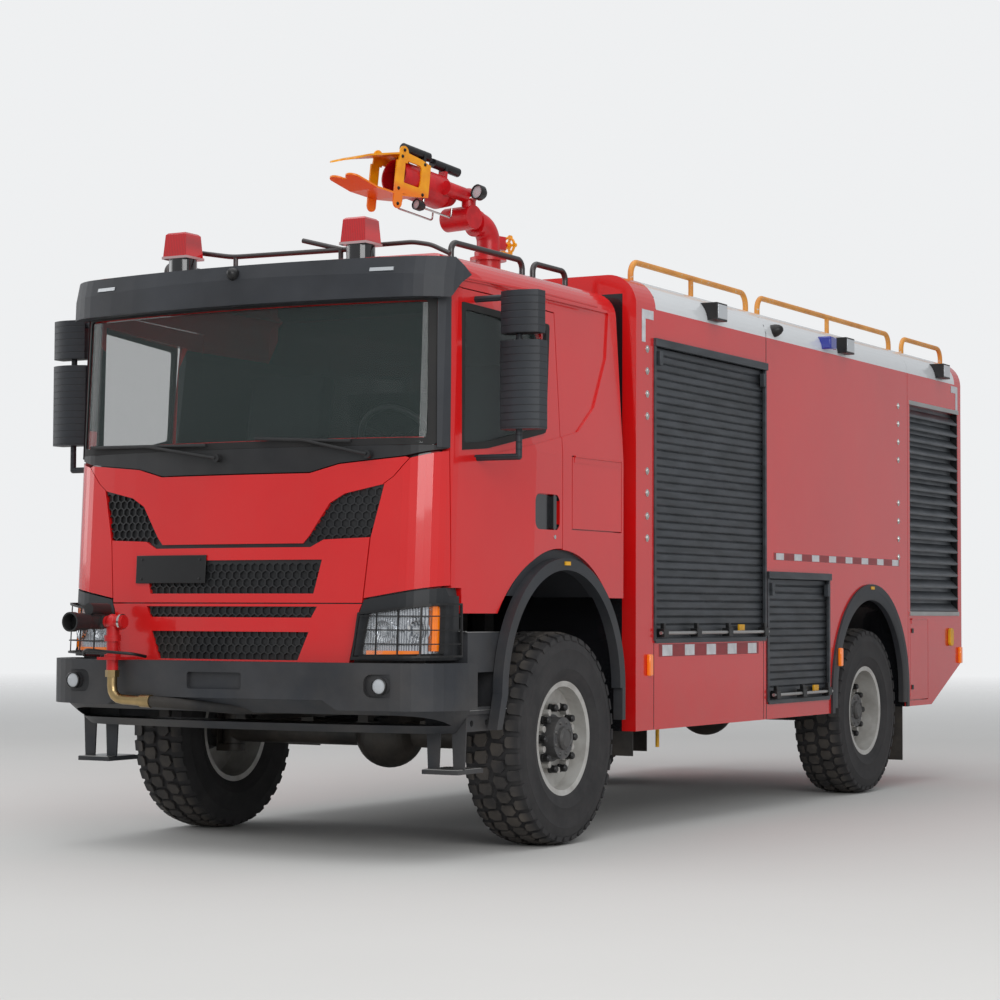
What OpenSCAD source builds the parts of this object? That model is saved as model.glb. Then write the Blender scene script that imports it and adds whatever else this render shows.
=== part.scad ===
/* [Chassis] */
// Distance between the two axles
wheelbase = 4435; // [4200:10:4800]
// Distance between the middles of the left and right tyres
track = 2100; // [2040:5:2120]
// Outside diameter of a tyre over its tread blocks
tyre_d = 1120; // [1080:5:1160]
// Width of a tyre at its sides
tyre_w = 340; // [300:5:350]
// Diameter of a rim over its flanges
rim_d = 606; // [600:1:612]
// Distance between the outer faces of the frame rails
frame_w = 860; // [800:10:900]
// Height of the frame rails' top face above the ground
frame_top = 1050; // [1030:5:1070]
// Height of a frame rail's web
rail_h = 280; // [240:10:300]

/* [Cab] */
// Width over the doors
cab_w = 2430; // [2380:10:2440]
// From the front axle forward to the middle of the front face
cab_front = 1386; // [1360:2:1400]
// From the front axle back to the cab's rear wall
cab_rear = 659; // [630:1:670]
// Height of the roof at the middle
cab_top = 3020; // [2950:10:3080]
// Thickness of the cab's walls and doors
cab_wall = 60; // [50:5:70]
// Lean of the cab's front face
cab_lean = 3; // [2:0.5:3.5]
// Height of the cab floor
floor_z = 1640; // [1620:5:1660]
// Gap round each door, flap and lid
shut_gap = 6; // [5:0.5:8]

/* [Body] */
// Width over the body sides
body_w = 2500; // [2460:10:2540]
// From the front axle back to the body's front face
body_front = 745; // [740:1:780]
// From the rear axle back to the body's rear face
rear_overhang = 1873; // [1840:1:1900]
// Height of the body's bottom edge
body_z = 567; // [550:5:600]
// Height of the body roof
body_top = 3110; // [3060:10:3160]
// Radius of the rounded roof edge
cove_r = 178; // [150:2:200]
// Depth of the roller shutters behind the body side
shutter_in = 34; // [20:2:50]
// Height of one shutter slat
slat_h = 44; // [36:2:60]

/* [Arches] */
// Radius of the rear wheel arch
rear_arch_r = 690; // [670:5:700]
// Width of an arch flare's band
flare_w = 62; // [50:2:70]

/* [Roof monitor] */
// From the front axle back to the monitor's upright pipe
monitor_y = 1284; // [1250:2:1350]
// Outside diameter of the upright pipe
monitor_pipe_d = 140; // [120:2:150]
// Height of the monitor's base flange above the body roof
monitor_base_h = 235; // [200:5:280]
// Angle by which the monitor points to the right of straight ahead
monitor_turn_rest = 12; // [0:1:30]
// Angle by which the barrel points up
barrel_lift = 7; // [0:1:15]
// Diameter of the barrel
barrel_d = 200; // [180:2:210]
// Length of the barrel
barrel_len = 430; // [380:10:500]

/* [Bumper monitor] */
// From the middle of the truck to the monitor's upright pipe
nozzle_x = 620; // [600:5:700]
// From the front axle forward to the monitor's upright pipe
nozzle_y = 1500; // [1490:2:1510]
// From the upright pipe to the mouth of the nozzle
nozzle_len = 230; // [200:5:260]
// Height of the nozzle's axis
nozzle_z = 1165; // [1150:5:1200]

/* [Doors and lids] */
// Front edge of a cab door, forward of the front axle
door_front = 1090; // [1080:1:1100]
// Rear edge of a cab door, forward of the front axle
door_rear = 66; // [55:1:75]

/* [Hidden] */

hub_z = tyre_d / 2;
tyre_x = track / 2;
cab_half = cab_w / 2;
body_half = body_w / 2;
nose_reach = nozzle_y + nozzle_len;
body_rear = wheelbase + rear_overhang;
rear_arch_y = wheelbase - 40;
rear_arch_z = 685;
rear_seam = rear_arch_y + rear_arch_r + 57;
monitor_base_z = body_top + monitor_base_h;
ladder_out = 60;
ladder_r = 16;
tail_reach = body_rear + ladder_out + ladder_r;
front_axle_y = (nose_reach - tail_reach) / 2;
run = 0.3;
far = 4000;

// Plan outline of the cab: a shallow front arc, two corner arcs and tapering sides
front_arc_r = 4900;
front_arc_a = 11.2;
corner_r = 240;
side_taper = 6;
lean_z = 1000;

// Seam between the hatch and the corner panels, as [half width, height]
panel_t = 40;
wall_front = panel_t + 5;
scuttle_z = 1975;
hatch_z = 1262;
seam = [[985, scuttle_z], [905, 1885], [857, 1851], [795, 1588], [768, 1288]];
// Lower edge of the black panel under the windscreen, from the middle outwards
scuttle_edge = [[455, 1908], [615, 1950], [965, 1982], [1140, 2022], [1400, 2022]];
panel_low_z = 958;
screen_low = 2040;
screen_half = 1092;
screen_seat = 18;
screen_flange = 40;
// Depth of the grille recesses in the hatch and the lower panel
grille_in = 28;
screen_high = cab_top - 230;

// Front doors: window corners as [distance behind the front axle, height]
door_low_z = 1215;
// Below door_nose_z the door's front edge steps back for the headlamp
door_nose = 1010;
door_nose_z = 1340;
window = [[-1000, 2035], [-985, 2750], [-216, 2712], [-250, 2165], [-780, 2055]];
// Raised shoulder under the windows, sweeping up behind the door, as [distance behind the axle, height]
shoulder = [[-1005, 1975], [-774, 2010], [-60, 2145], [128, 2183], [332, 2327], [510, 2611], [567, 2868]];
shoulder_in = 10;

// Front wheel arch: the flare's middle, its outer radius and the gap to the cab's edge
flare_y = -77;
flare_z = 811;
flare_r = 694;
arch_gap = 45;
arch_r = flare_r + arch_gap;

// Points of an arc, as a list
function arc(c, r, a0, a1, n = 8) =
    [for (i = [0:n]) c + r * [cos(a0 + (a1 - a0) * i / n), sin(a0 + (a1 - a0) * i / n)]];

// Right half of the cab's plan, moved inwards by d
corner_c = [(front_arc_r - corner_r) * sin(front_arc_a),
    front_arc_r - cab_front - (front_arc_r - corner_r) * cos(front_arc_a)];
function half_plan(d) = concat(
    arc([0, front_arc_r - cab_front], front_arc_r - d, 270, 270 + front_arc_a, 6),
    arc(corner_c, corner_r - d, 270 + front_arc_a, 360 - side_taper, 8),
    [[cab_half - d, corner_c[1] - (corner_r - d) * sin(side_taper)
        + (cab_half - d - corner_c[0] - (corner_r - d) * cos(side_taper)) / tan(side_taper)],
        [cab_half - d, far]]);
// Depth of the leaning front face at x and height z
function skin_y(x, z) = (front_arc_r - cab_front - sqrt(front_arc_r * front_arc_r - x * x))
    / cos(cab_lean) + (z - lean_z) * tan(cab_lean);
function flip(points) = [for (i = [len(points) - 1:-1:0]) [-points[i][0], points[i][1]]];
function cab_plan(d) = concat(flip(half_plan(d)), half_plan(d));

// Everything below is drawn with the front axle at y = 0
module from_axle() translate([0, front_axle_y, 0]) children();

// A side outline, given as [y, z], made t thick from x0 on
module slab(x0, t) translate([x0, 0, 0]) rotate([90, 0, 90]) linear_extrude(t) children();

// A front outline, given as [x, z], running back from y0 by t
module slice(y0, t) translate([0, y0 + t, 0]) rotate([90, 0, 0]) linear_extrude(t) children();

module both() {
    children();
    mirror([1, 0, 0]) children();
}

module bar(a, b, r) {
    d = b - a;
    translate(a) rotate([0, atan2(norm([d[0], d[1]]), d[2]), atan2(d[1], d[0])])
        cylinder(r = r, h = norm(d), $fn = 24);
}

// A bent tube along the points
module tube(points, r) {
    for (i = [0:len(points) - 2]) bar(points[i], points[i + 1], r);
    for (i = [1:len(points) - 2]) translate(points[i]) sphere(r = r, $fn = 24);
}

// A quarter of a ring in the x-y plane, and the same turned into the y-z plane from a start angle
module quarter(r, t) rotate_extrude(angle = 90, $fn = 48) translate([r, 0]) circle(r = t, $fn = 24);
module side_bend(r, t, a) rotate([90, 0, 90]) rotate([0, 0, a]) quarter(r, t);

// The cab's plan made upright and leaning back with the front face
module leaning_plan(d, z0 = 600, z1 = cab_top + 180) {
    translate([0, 0, lean_z]) rotate([-cab_lean, 0, 0])
        translate([0, 0, z0 - lean_z]) linear_extrude(z1 - z0) polygon(cab_plan(d));
}

module front_skin(d0, d1, z0 = 600, z1 = cab_top + 180) {
    difference() {
        leaning_plan(d0, z0, z1);
        leaning_plan(d1, z0 - 50, z1 + 50);
    }
}

// Cross section of the cab, moved inwards by d
waist_z = 2050;
cant_in = 48;
roof_r = 150;
cant_z = cab_top - roof_r - 20;
module cab_section(d) {
    half = concat([[cab_half - d, 0], [cab_half - d, waist_z]],
        arc([cab_half - cant_in - roof_r, cant_z], roof_r - d, 2, 86, 8),
        [[0, cab_top - d]]);
    polygon(concat(half, flip(half)));
}

// Side outline of the cab's outside
module cab_side(d, low) {
    polygon(concat([[-1600, low], [-1600, cab_top - 125], [-1256 + d, cab_top - 95 - d],
        [-1036 + d, cab_top - d]],
        arc([cab_rear - 90, cab_top - 90], 90 - d, 90, 0, 6), [[cab_rear - d, low]]));
}

module cab_outside(d, low) {
    intersection() {
        leaning_plan(d);
        slice(-2000, far) cab_section(d);
        slab(-1500, 3000) cab_side(d, low);
    }
}

// What is cut away under the cab side, with the wheel arch in it
cab_tail_z = 1300;
module cab_under() {
    translate([-1700, 0]) square([1100, door_low_z]);
    translate([300, 0]) square([cab_rear, cab_tail_z]);
    translate([flare_y, flare_z]) circle(r = arch_r, $fn = 96);
}

// Outline of a door, drawn larger by g all round
module door_outline(g) {
    difference() {
        polygon([[-door_nose - g, 1190 - g], [-door_nose - g, door_nose_z - g],
            [-door_front - g, door_nose_z - g], [-door_front - g, 2000],
            [-door_front + 22 - g, 2830 + g], [-door_rear + g, 2800 + g], [-door_rear + g, 1190 - g]]);
        translate([flare_y, flare_z]) circle(r = arch_r + shut_gap - g, $fn = 96);
        translate([-1700, 0]) square([1100, door_low_z - g]);
    }
}

// The skin above the shoulder, taken off the cab's side and the doors
module above_shoulder() {
    difference() {
        slab(-1500, 3000) polygon(concat(shoulder, [[-1005, 2868]]));
        cab_outside(shoulder_in, 1100);
    }
}

// Side flaps as [front edge, rear edge, bottom, top], hinged on the outside of the top edge
cab_flap_at = [50, 630, 1664, 2046];
flap_t = 20;
flap_hinge_r = 5;
module flap_pocket(half, at) {
    translate([half - flap_t - shut_gap, at[0] - shut_gap, at[2] - shut_gap])
        cube([100, at[1] - at[0] + 2 * shut_gap, at[3] - at[2] + 2 * shut_gap]);
}

module side_flap(half, at) color("firebrick") from_axle() {
    translate([half - flap_t, at[0], at[2]]) cube([flap_t, at[1] - at[0], at[3] - at[2]]);
    translate([half, at[0] + 20, at[3] - 30]) cube([3, at[1] - at[0] - 40, 33]);
    translate([half + flap_hinge_r, at[1] - 20, at[3] + 3]) rotate([90, 0, 0])
        cylinder(r = flap_hinge_r, h = at[1] - at[0] - 40);
}

module cab_shell() color("firebrick") from_axle() {
    difference() {
        cab_outside(0, 1180);
        // Cabin space above the floor and the footwell before it
        intersection() {
            cab_outside(cab_wall, 1180);
            slab(-1500, 3000) polygon([[-1600, 1300], [-740, 1300], [-680, floor_z],
                [cab_rear, floor_z], [cab_rear, far], [-1600, far]]);
        }
        // Room for the engine and the wheels under the floor
        translate([-cab_half + cab_wall, -620, 0])
            cube([cab_w - 2 * cab_wall, cab_rear + 800, floor_z - cab_wall]);
        slab(-1500, 3000) cab_under();
        // Seat of the front panels and the headlamps
        intersection() {
            front_skin(-20, wall_front);
            translate([-1500, -2000, 0]) {
                cube([3000, 2000 - door_front - shut_gap, screen_low]);
                cube([3000, 2000 - door_nose - shut_gap, door_nose_z - shut_gap]);
            }
        }
        // Windscreen with the flange that it rests on
        screen_outline_cut(screen_flange);
        intersection() {
            front_skin(-50, screen_seat);
            screen_outline_cut(0);
        }
        // Doors and side flaps
        difference() {
            slab(-1500, 3000) door_outline(shut_gap);
            cab_outside(cab_wall + shut_gap, 1100);
        }
        both() flap_pocket(cab_half, cab_flap_at);
        above_shoulder();
    }
}

module screen_outline_cut(g) {
    slice(-2000, 900) polygon([[g - screen_half, screen_low + g], [14 + g - screen_half, screen_high - g],
        [screen_half - 14 - g, screen_high - g], [screen_half - g, screen_low + g]]);
}

module windscreen() color("darkslategray", 0.5) from_axle() {
    intersection() {
        front_skin(screen_seat - 12, screen_seat);
        screen_outline_cut(0.5);
    }
}

hinge_x = 1139;
// Recess round the door handle: its middle, width, height and depth
handle_at = [-229, 1744];
handle_size = [270, 186];
handle_in = 26;
module door(side) color("firebrick") from_axle() {
    translate([side * hinge_x, 3.6 - door_front - shut_gap, door_nose_z + 10]) cylinder(r = 3, h = 120);
    difference() {
        intersection() {
            difference() {
                cab_outside(0, 1100);
                cab_outside(cab_wall, 1000);
            }
            slab(side > 0 ? 0 : -1500, 1500) door_outline(0);
        }
        slab(side > 0 ? 0 : -1500, 1500) polygon(window);
        above_shoulder();
        slab(side > 0 ? cab_half - handle_in : -cab_half - 100, handle_in + 100)
            rounded(handle_at, handle_size, 45);
    }
    // Upright grip at the recess's rear end
    slab(side > 0 ? cab_half - handle_in : 6 - cab_half, handle_in - 6)
        rounded([handle_at[0] + 92, handle_at[1]], [34, handle_size[1]], 12);
}

module glass(side) color("darkslategray", 0.5) from_axle() {
    intersection() {
        difference() {
            cab_outside(18, 1100);
            cab_outside(24, 1000);
        }
        slab(side > 0 ? 0 : -1500, 1500) polygon(window);
    }
}

// A rectangle round its middle with round corners
module rounded(at, size, r) translate(at) {
    square([size[0] - 2 * r, size[1]], center = true);
    square([size[0], size[1] - 2 * r], center = true);
    for (x = [-1, 1], y = [-1, 1]) translate([x * (size[0] / 2 - r), y * (size[1] / 2 - r)]) circle(r = r);
}

// Two mirror housings on their arms, drawn on the left side
mirror_x = 1395;
mirror_y = -930;
module mirrors() color("dimgray") from_axle() difference() {
    union() {
        // Housings with a bulged front, as [bottom, height, width, depth]
        for (m = [[2600, 212, 210, 110], [2125, 440, 222, 122]])
            translate([mirror_x + 15, mirror_y, m[0]]) linear_extrude(m[1]) intersection() {
                translate([0, m[3] / 2 + 8]) rounded([0, 0], [m[2], m[3] + 16], 26);
                translate([0, 190]) circle(r = 190);
                translate([-m[2], -m[3]]) square([2 * m[2], 2 * m[3]]);
            }
        y = mirror_y + 58;
        tube([[cab_half - 160, y, 1990], [mirror_x, y, 1990], [mirror_x, y, 2785],
            [cab_half - 160, y, 2785]], 16);
    }
    difference() {
        cab_outside(0, 1100);
        above_shoulder();
    }
}

visor_out = 80;
visor_lean = 16;
visor_low = cab_top - 255;
visor_fold = cab_top - 135;
visor_high = cab_top - 52;
nose_y = 1400;
// The cab's plan moved outwards, leaning back by a from the visor's fold line
module visor_face(a) {
    back = (visor_fold - lean_z) * tan(cab_lean) + nose_y * (1 / cos(a) - 1);
    translate([0, back, visor_fold]) rotate([-a, 0, 0]) translate([0, 0, -700])
        linear_extrude(1400) polygon(cab_plan(-visor_out));
}

module sun_visor() color("dimgray") from_axle() {
    difference() {
        intersection() {
            visor_face(cab_lean);
            visor_face(visor_lean);
            slab(-1500, 3000) polygon([[-1700, visor_low], [-1150, visor_low], [-1095, visor_low + 77],
                [-1030, visor_fold], [-1110, visor_high], [-1700, visor_high]]);
        }
        cab_outside(0, 1100);
    }
    // Trim between the windscreen and the doors
    y = -door_front - shut_gap - 1;
    both() intersection() {
        front_skin(-7, 0);
        slice(-2000, 2000) polygon([[screen_half + 3, screen_low - 12], [screen_half - 10, visor_low + 20],
            [1400, visor_low + 20], [1400, screen_low - 12]]);
        slab(0, 1500) polygon([[-2000, 1900], [y, 1900], [y, 2000], [y + 22, 2830], [-2000, 2830]]);
    }
}

// Outline of the hatch between the seams, as [x, z]
module hatch_outline(g) {
    edge = [for (i = [0:2]) scuttle_edge[i]];
    half = concat(edge, [for (p = seam) [p[0] - g, p[1]]], [[766 - g, hatch_z + g]]);
    polygon(concat(half, flip(half)));
}

// Grille openings: the upper one is a U, its upper edge from the outside in and its lower edge from
// the middle out; the others are given as [bottom half width, bottom, top half width, top]
wing = [[870, 1851], [652, 1804], [571, 1758], [464, 1595], [431, 1559]];
wing_under = [[474, 1540], [545, 1577], [830, 1588]];
main_grille = [500, 1310, 540, 1478];
slot_grille = [492, 1191, 522, 1246];
low_grille = [424, 980, 481, 1120];
module grille_outline(g) polygon([[-g[0], g[1]], [-g[2], g[3]], [g[2], g[3]], [g[0], g[1]]]);
module u_outline() polygon(concat(wing, flip(wing), flip(wing_under), wing_under));
module hatch_openings() {
    u_outline();
    grille_outline(main_grille);
}
module panel_openings() {
    grille_outline(slot_grille);
    grille_outline(low_grille);
}

// Hexagons in staggered rows between two corners, with walls of wall between them
module honeycomb(low, high, across, wall) {
    pitch = across + wall;
    rise = pitch * sin(60);
    for (i = [0:floor((high[1] - low[1]) / rise)], k = [0:floor((high[0] - low[0]) / pitch)])
        translate([low[0] + (k + 0.5 * (i % 2)) * pitch, low[1] + i * rise]) rotate([0, 0, 30])
            circle(r = across / 2 / cos(30), $fn = 6);
}

// A grille plate in its recess, with hexagonal cells sunk in its face
cell_in = 12;
module grille_plate() {
    difference() {
        intersection() {
            front_skin(grille_in - 20, grille_in);
            slice(-2000, 900) children(0);
        }
        intersection() {
            front_skin(0, grille_in - 20 + cell_in);
            slice(-2000, 900) intersection() {
                children(0);
                children(1);
            }
        }
    }
}

module front_hatch() color("firebrick") from_axle() {
    difference() {
        intersection() {
            front_skin(0, wall_front);
            slice(-2000, 900) hatch_outline(shut_gap / 2);
        }
        intersection() {
            front_skin(-20, grille_in);
            slice(-2000, 900) hatch_openings();
        }
    }
}

module hatch_grilles() color("black") from_axle() {
    grille_plate() {
        intersection() {
            hatch_openings();
            hatch_outline(shut_gap / 2);
        }
        union() {
            honeycomb([-530, 1326], [540, 1470], 38, 6);
            both_flat() honeycomb([480, 1580], [850, 1840], 38, 6);
        }
    }
}

module both_flat() {
    children();
    mirror([1, 0]) children();
}

module front_panel() color("firebrick") from_axle() {
    difference() {
        intersection() {
            front_skin(0, wall_front);
            slice(-2000, 900) polygon([[-703, panel_low_z], [-750, 1230], [-763, hatch_z - shut_gap / 2],
                [763, hatch_z - shut_gap / 2], [750, 1230], [703, panel_low_z]]);
        }
        intersection() {
            front_skin(-20, grille_in);
            slice(-2000, 900) panel_openings();
        }
    }
    // Corner panels between the seams and the doors
    both() intersection() {
        front_skin(0, wall_front);
        slice(-2000, 2000 - door_front - shut_gap)
            polygon(concat([for (p = seam) [p[0] + shut_gap / 2, p[1]]],
                [[1140, 1352], [1400, 1352], [1400, 2016], [1140, 2016]]));
    }
}

module lower_grille() color("black") from_axle() {
    grille_plate() {
        panel_openings();
        honeycomb([-520, 996], [520, 1240], 38, 6);
    }
}

bumper_out = 100;
bumper_end = 1021;
bumper_low = 790;
bumper_high = 972;
corner_low = 742;
corner_x = 700;
chin_low = 625;
fog_at = [933, 862];
module plan_slice(d, z) translate([0, 0, z]) linear_extrude(2) intersection() {
    polygon(cab_plan(d));
    translate([-1500, -2000]) square([3000, 2000 - bumper_end]);
}

module bumper() color("dimgray") from_axle() {
    difference() {
        union() {
            intersection() {
                translate([0, 0, corner_low]) linear_extrude(bumper_high - corner_low)
                    polygon(cab_plan(-bumper_out));
                slice(-2000, 2000 - bumper_end) polygon([[-1400, corner_low], [-1400, far], [1400, far],
                    [1400, corner_low], [corner_x, corner_low], [corner_x - 80, bumper_low],
                    [80 - corner_x, bumper_low], [-corner_x, corner_low]]);
            }
            difference() {
                hull() {
                    plan_slice(-bumper_out + 12, bumper_low - 2);
                    translate([0, 140, 0]) plan_slice(0, chin_low);
                }
                translate([-1500, -bumper_end, 0]) cube([3000, 500, 2000]);
            }
        }
        translate([0, 0, chin_low + 40]) linear_extrude(far) polygon(cab_plan(10));
        translate([0, 0, panel_low_z - 2]) linear_extrude(far) polygon(cab_plan(-6));
        // Recesses for the blank number panel and the fog lamps
        slice(-1600, 140) rounded([0, 876], [330, 84], 14);
        both() slice(-1600, 210) rounded(fog_at, [190, 112], 40);
    }
    both() slice(-1420, 45) translate(fog_at) circle(r = 42);
    both() translate([frame_w / 2 - 80, -1380, 790]) cube([80, 1380 - rail_front, 150]);
}

lamp_end = 1030;
lamp = [[710, 985], [756, 1230], [773, 1280], [1128, 1340], [1136, 1300], [1400, 1300], [1400, 985]];
lens = [[762, 1002], [797, 1222], [1128, 1262], [1128, 1008]];
lamp_depth = 24;
// Reflector bowls as [distance from the middle, turn away from straight ahead]
bowls = [[872, 10], [1042, 35]];
bowl_z = 1130;
module headlamps() color("silver") from_axle() both() {
    difference() {
        intersection() {
            front_skin(0, wall_front);
            slice(-2000, 2000 - lamp_end) polygon(lamp);
        }
        intersection() {
            front_skin(-20, lamp_depth);
            slice(-2000, 1400) polygon(lens);
        }
    }
    for (b = bowls) translate([b[0], skin_depth(b[0]), bowl_z]) rotate([90, 0, b[1]])
        translate([0, 0, -lamp_depth - 6]) difference() {
            cylinder(r = 62, h = lamp_depth + 2);
            translate([0, 0, 8]) cylinder(r1 = 26, r2 = 58, h = lamp_depth);
        }
}

// Depth of the front face at x in the corner as well as on the front arc, at the lamps' height
function skin_depth(x) = (x < corner_c[0] ? front_arc_r - cab_front - sqrt(front_arc_r * front_arc_r - x * x)
    : corner_c[1] - sqrt(corner_r * corner_r - pow(x - corner_c[0], 2))) + (bowl_z - lean_z) * tan(cab_lean);

guard_end = 1056;
module guard_outline(i) polygon([[738 + i, 992 + i], [764 + i, 1218 - i], [1128, 1264 - i],
    [1400, 1266 - i], [1400, 1004 + i]]);
module lamp_guards() color("black") from_axle() both() {
    difference() {
        intersection() {
            front_skin(-40, -30);
            slice(-2000, 2000 - guard_end) guard_outline(0);
        }
        slice(-2000, 1990 - guard_end) guard_outline(10);
    }
    intersection() {
        front_skin(-38, -32);
        slice(-2000, 1995 - guard_end) intersection() {
            guard_outline(5);
            union() {
                for (x = [860, 970, 1070]) translate([x, 900]) square([6, 500]);
                for (z = [1062, 1130, 1198]) translate([700, z]) square([700, 6]);
            }
        }
    }
    // Feet on the lamp's housing
    intersection() {
        front_skin(-34, 0);
        slice(-2000, 1000) for (f = [[744, 1000], [770, 1206], [1060, 1248], [1060, 1004]])
            translate(f) square(8);
    }
}

// Wipers as [pivot, inner end and outer end of the blade], each [across, height]
wiper_table = [[[-84, 1995], [-150, 2062], [-960, 2078]], [[779, 1995], [690, 2062], [150, 2086]]];
module wipers() color("black") from_axle() {
    // Scuttle between the hatch and the windscreen
    edge = [for (e = scuttle_edge) [e[0], e[1] + shut_gap]];
    intersection() {
        front_skin(0, wall_front);
        slice(-2000, 2000 - door_front - shut_gap)
            polygon(concat(edge, [[1400, screen_low], [-1400, screen_low]], flip(edge)));
    }
    for (w = wiper_table) {
        middle = (w[1] + w[2]) / 2;
        hub = [w[0][0], skin_y(w[0][0], w[0][1]) - 34, w[0][1]];
        tip = [middle[0], skin_y(middle[0], middle[1]) - 24, middle[1]];
        translate([hub[0], hub[1], hub[2]]) rotate([-90, 0, 0]) cylinder(r = 20, h = 54);
        bar(hub, tip, 8);
        bar([w[1][0], skin_y(w[1][0], w[1][1]) - 24, w[1][1]],
            [w[2][0], skin_y(w[2][0], w[2][1]) - 24, w[2][1]], 9);
    }
}

step_front = 1016;
step_rear = 660;
step_x = 950;
step_w = 240;
step_z = 716;
step_top = 1124;
// Legs of the hanging step as [inner edge, outer edge] at its top
legs = [[955, 1040], [1100, 1185]];
module cab_steps() color("dimgray") from_axle() {
    both() {
        // Upper box, open to the outside, between two treads
        difference() {
            translate([step_x, -step_front, step_z]) cube([step_w, step_front - step_rear, step_top - step_z - 22]);
            translate([step_x + 60, 36 - step_front, 752]) cube([step_w, step_front - step_rear - 110, 172]);
        }
        for (z = [step_top - 22, step_z]) translate([step_x + 20, -step_front, z])
            cube([step_w - 20, step_front - step_rear, 22]);
        // Bracket under the box and the step that hangs from it
        difference() {
            translate([step_x, -step_front, 632]) cube([step_w - 10, step_front - step_rear, step_z - 632]);
            for (y = [60, 210]) translate([step_x + 60, y - step_front, 672]) rotate([0, 90, 0])
                cylinder(r = 16, h = step_w);
        }
        for (l = legs) slice(-step_front, 10)
            polygon([[l[0], 700], [l[1], 700], [l[1] - 12, 430], [l[0] + 12, 430]]);
        translate([step_x + 17, -step_front - 60, 424]) cube([step_w - 34, 250, 22]);
        translate([frame_w / 2, -step_front + 20, 790]) cube([step_x + 10 - frame_w / 2, 50, 60]);
    }
}

// Band of an arch as a side outline: inner radius, centre and feet
module arch_band(c, r, w, foot) {
    difference() {
        union() {
            translate(c) circle(r = r + w, $fn = 72);
            translate([c[0] - r - w, foot]) square([2 * (r + w), c[1] - foot]);
        }
        translate(c) circle(r = r, $fn = 72);
        translate([c[0] - r, 0]) square([2 * r, c[1]]);
        translate([c[0] - 1500, foot - 1500]) square([3000, 1500]);
    }
}

leg_z = 637;
flare_face = 55;
liner_t = 12;
module front_arches() color("dimgray") from_axle() {
    inner = flare_r - flare_w;
    both() {
        slab(body_half - flare_face, flare_face) difference() {
            union() {
                translate([flare_y, flare_z]) circle(r = flare_r, $fn = 96);
                polygon([[flare_y - flare_r, flare_z], [-824, leg_z], [flare_y + flare_r, leg_z],
                    [flare_y + flare_r, flare_z]]);
            }
            translate([flare_y, flare_z]) circle(r = inner, $fn = 96);
            polygon([[flare_y - inner, flare_z], [-770, leg_z - 1], [flare_y + flare_r - 37, leg_z - 1],
                [flare_y + flare_r - 37, flare_z]]);
            translate([-2000, 0]) square([4000, leg_z]);
        }
        // Liner over the wheel and the web that joins it to the flare
        for (part = [[760, body_half - flare_face - 760, arch_r - liner_t],
                [body_half - flare_face - liner_t, liner_t, inner]])
            slab(part[0], part[1]) difference() {
                translate([flare_y, flare_z]) circle(r = arch_r, $fn = 96);
                translate([flare_y, flare_z]) circle(r = part[2], $fn = 96);
                translate([-2000, 0]) square([4000, cab_tail_z + 5]);
            }
    }
}

module rear_arches() color("dimgray") from_axle() {
    both() slab(body_half, 14)
        arch_band([rear_arch_y, rear_arch_z], rear_arch_r, 45, body_z);
}

module seats() color("darkslategray") from_axle() {
    for (x = [-600, 600]) {
        translate([x - 250, -540, floor_z + 250]) cube([500, 480, 130]);
        translate([x - 240, -60, floor_z + 300]) rotate([-10, 0, 0]) cube([480, 110, 620]);
        translate([x - 200, -520, floor_z]) cube([400, 420, 250]);
    }
}

module dashboard() color("dimgray") from_axle() {
    intersection() {
        cab_outside(cab_wall, 1180);
        slab(-1000, 2000) polygon([[-1600, 1700], [-920, 1700], [-900, 1900], [-1050, 1985],
            [-1600, 1985]]);
    }
    // Steering wheel on its column
    translate([600, -716, 2080]) rotate([-60, 0, 0]) {
        rotate_extrude() translate([215, 0]) circle(r = 16, $fn = 24);
        cylinder(r = 60, h = 20);
        for (a = [90, 210, 330]) rotate([0, 0, a]) translate([0, -15, 4]) cube([205, 30, 12]);
        translate([0, 0, -330]) cylinder(r = 30, h = 332);
    }
}

// Body section with the rounded roof edges and the tunnel over the frame
tunnel_half = 500;
tunnel_z = frame_top + 40;
module body_section() {
    half = concat([[tunnel_half, tunnel_z], [tunnel_half, body_z], [body_half, body_z]],
        arc([body_half - cove_r, body_top - cove_r], cove_r, 0, 90, 10), [[0, body_top]]);
    polygon(concat(half, flip(half)));
}

// Shutters as [front edge, rear edge, bottom, top] from the front axle and the ground
shutter_low = 1063;
shutter_high = body_top - 382;
shutter_table = [[982, 2561, shutter_low, shutter_high],
    [2603, rear_arch_y - rear_arch_r - 85, 671, 1440]];

module body_shell() color("firebrick") from_axle() {
    difference() {
        slice(body_front, rear_seam - 6 - body_front) body_section();
        translate([0, rear_arch_y, rear_arch_z]) rotate([0, 90, 0])
            cylinder(r = rear_arch_r, h = far, center = true, $fn = 96);
        translate([-far, rear_arch_y - rear_arch_r, 0]) cube([2 * far, 2 * rear_arch_r, rear_arch_z]);
        // Manhole
        translate([-250, 2650, body_top - 200]) cube([500, 500, 300]);
        for (s = shutter_table) both() translate([body_half - shutter_in, s[0], s[2]])
            cube([100, s[1] - s[0], s[3] - s[2]]);
    }
    // Coaming round the manhole
    difference() {
        translate([-280, 2620, body_top]) cube([560, 560, 40]);
        translate([-250, 2650, body_top - 10]) cube([500, 500, 100]);
    }
}

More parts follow.
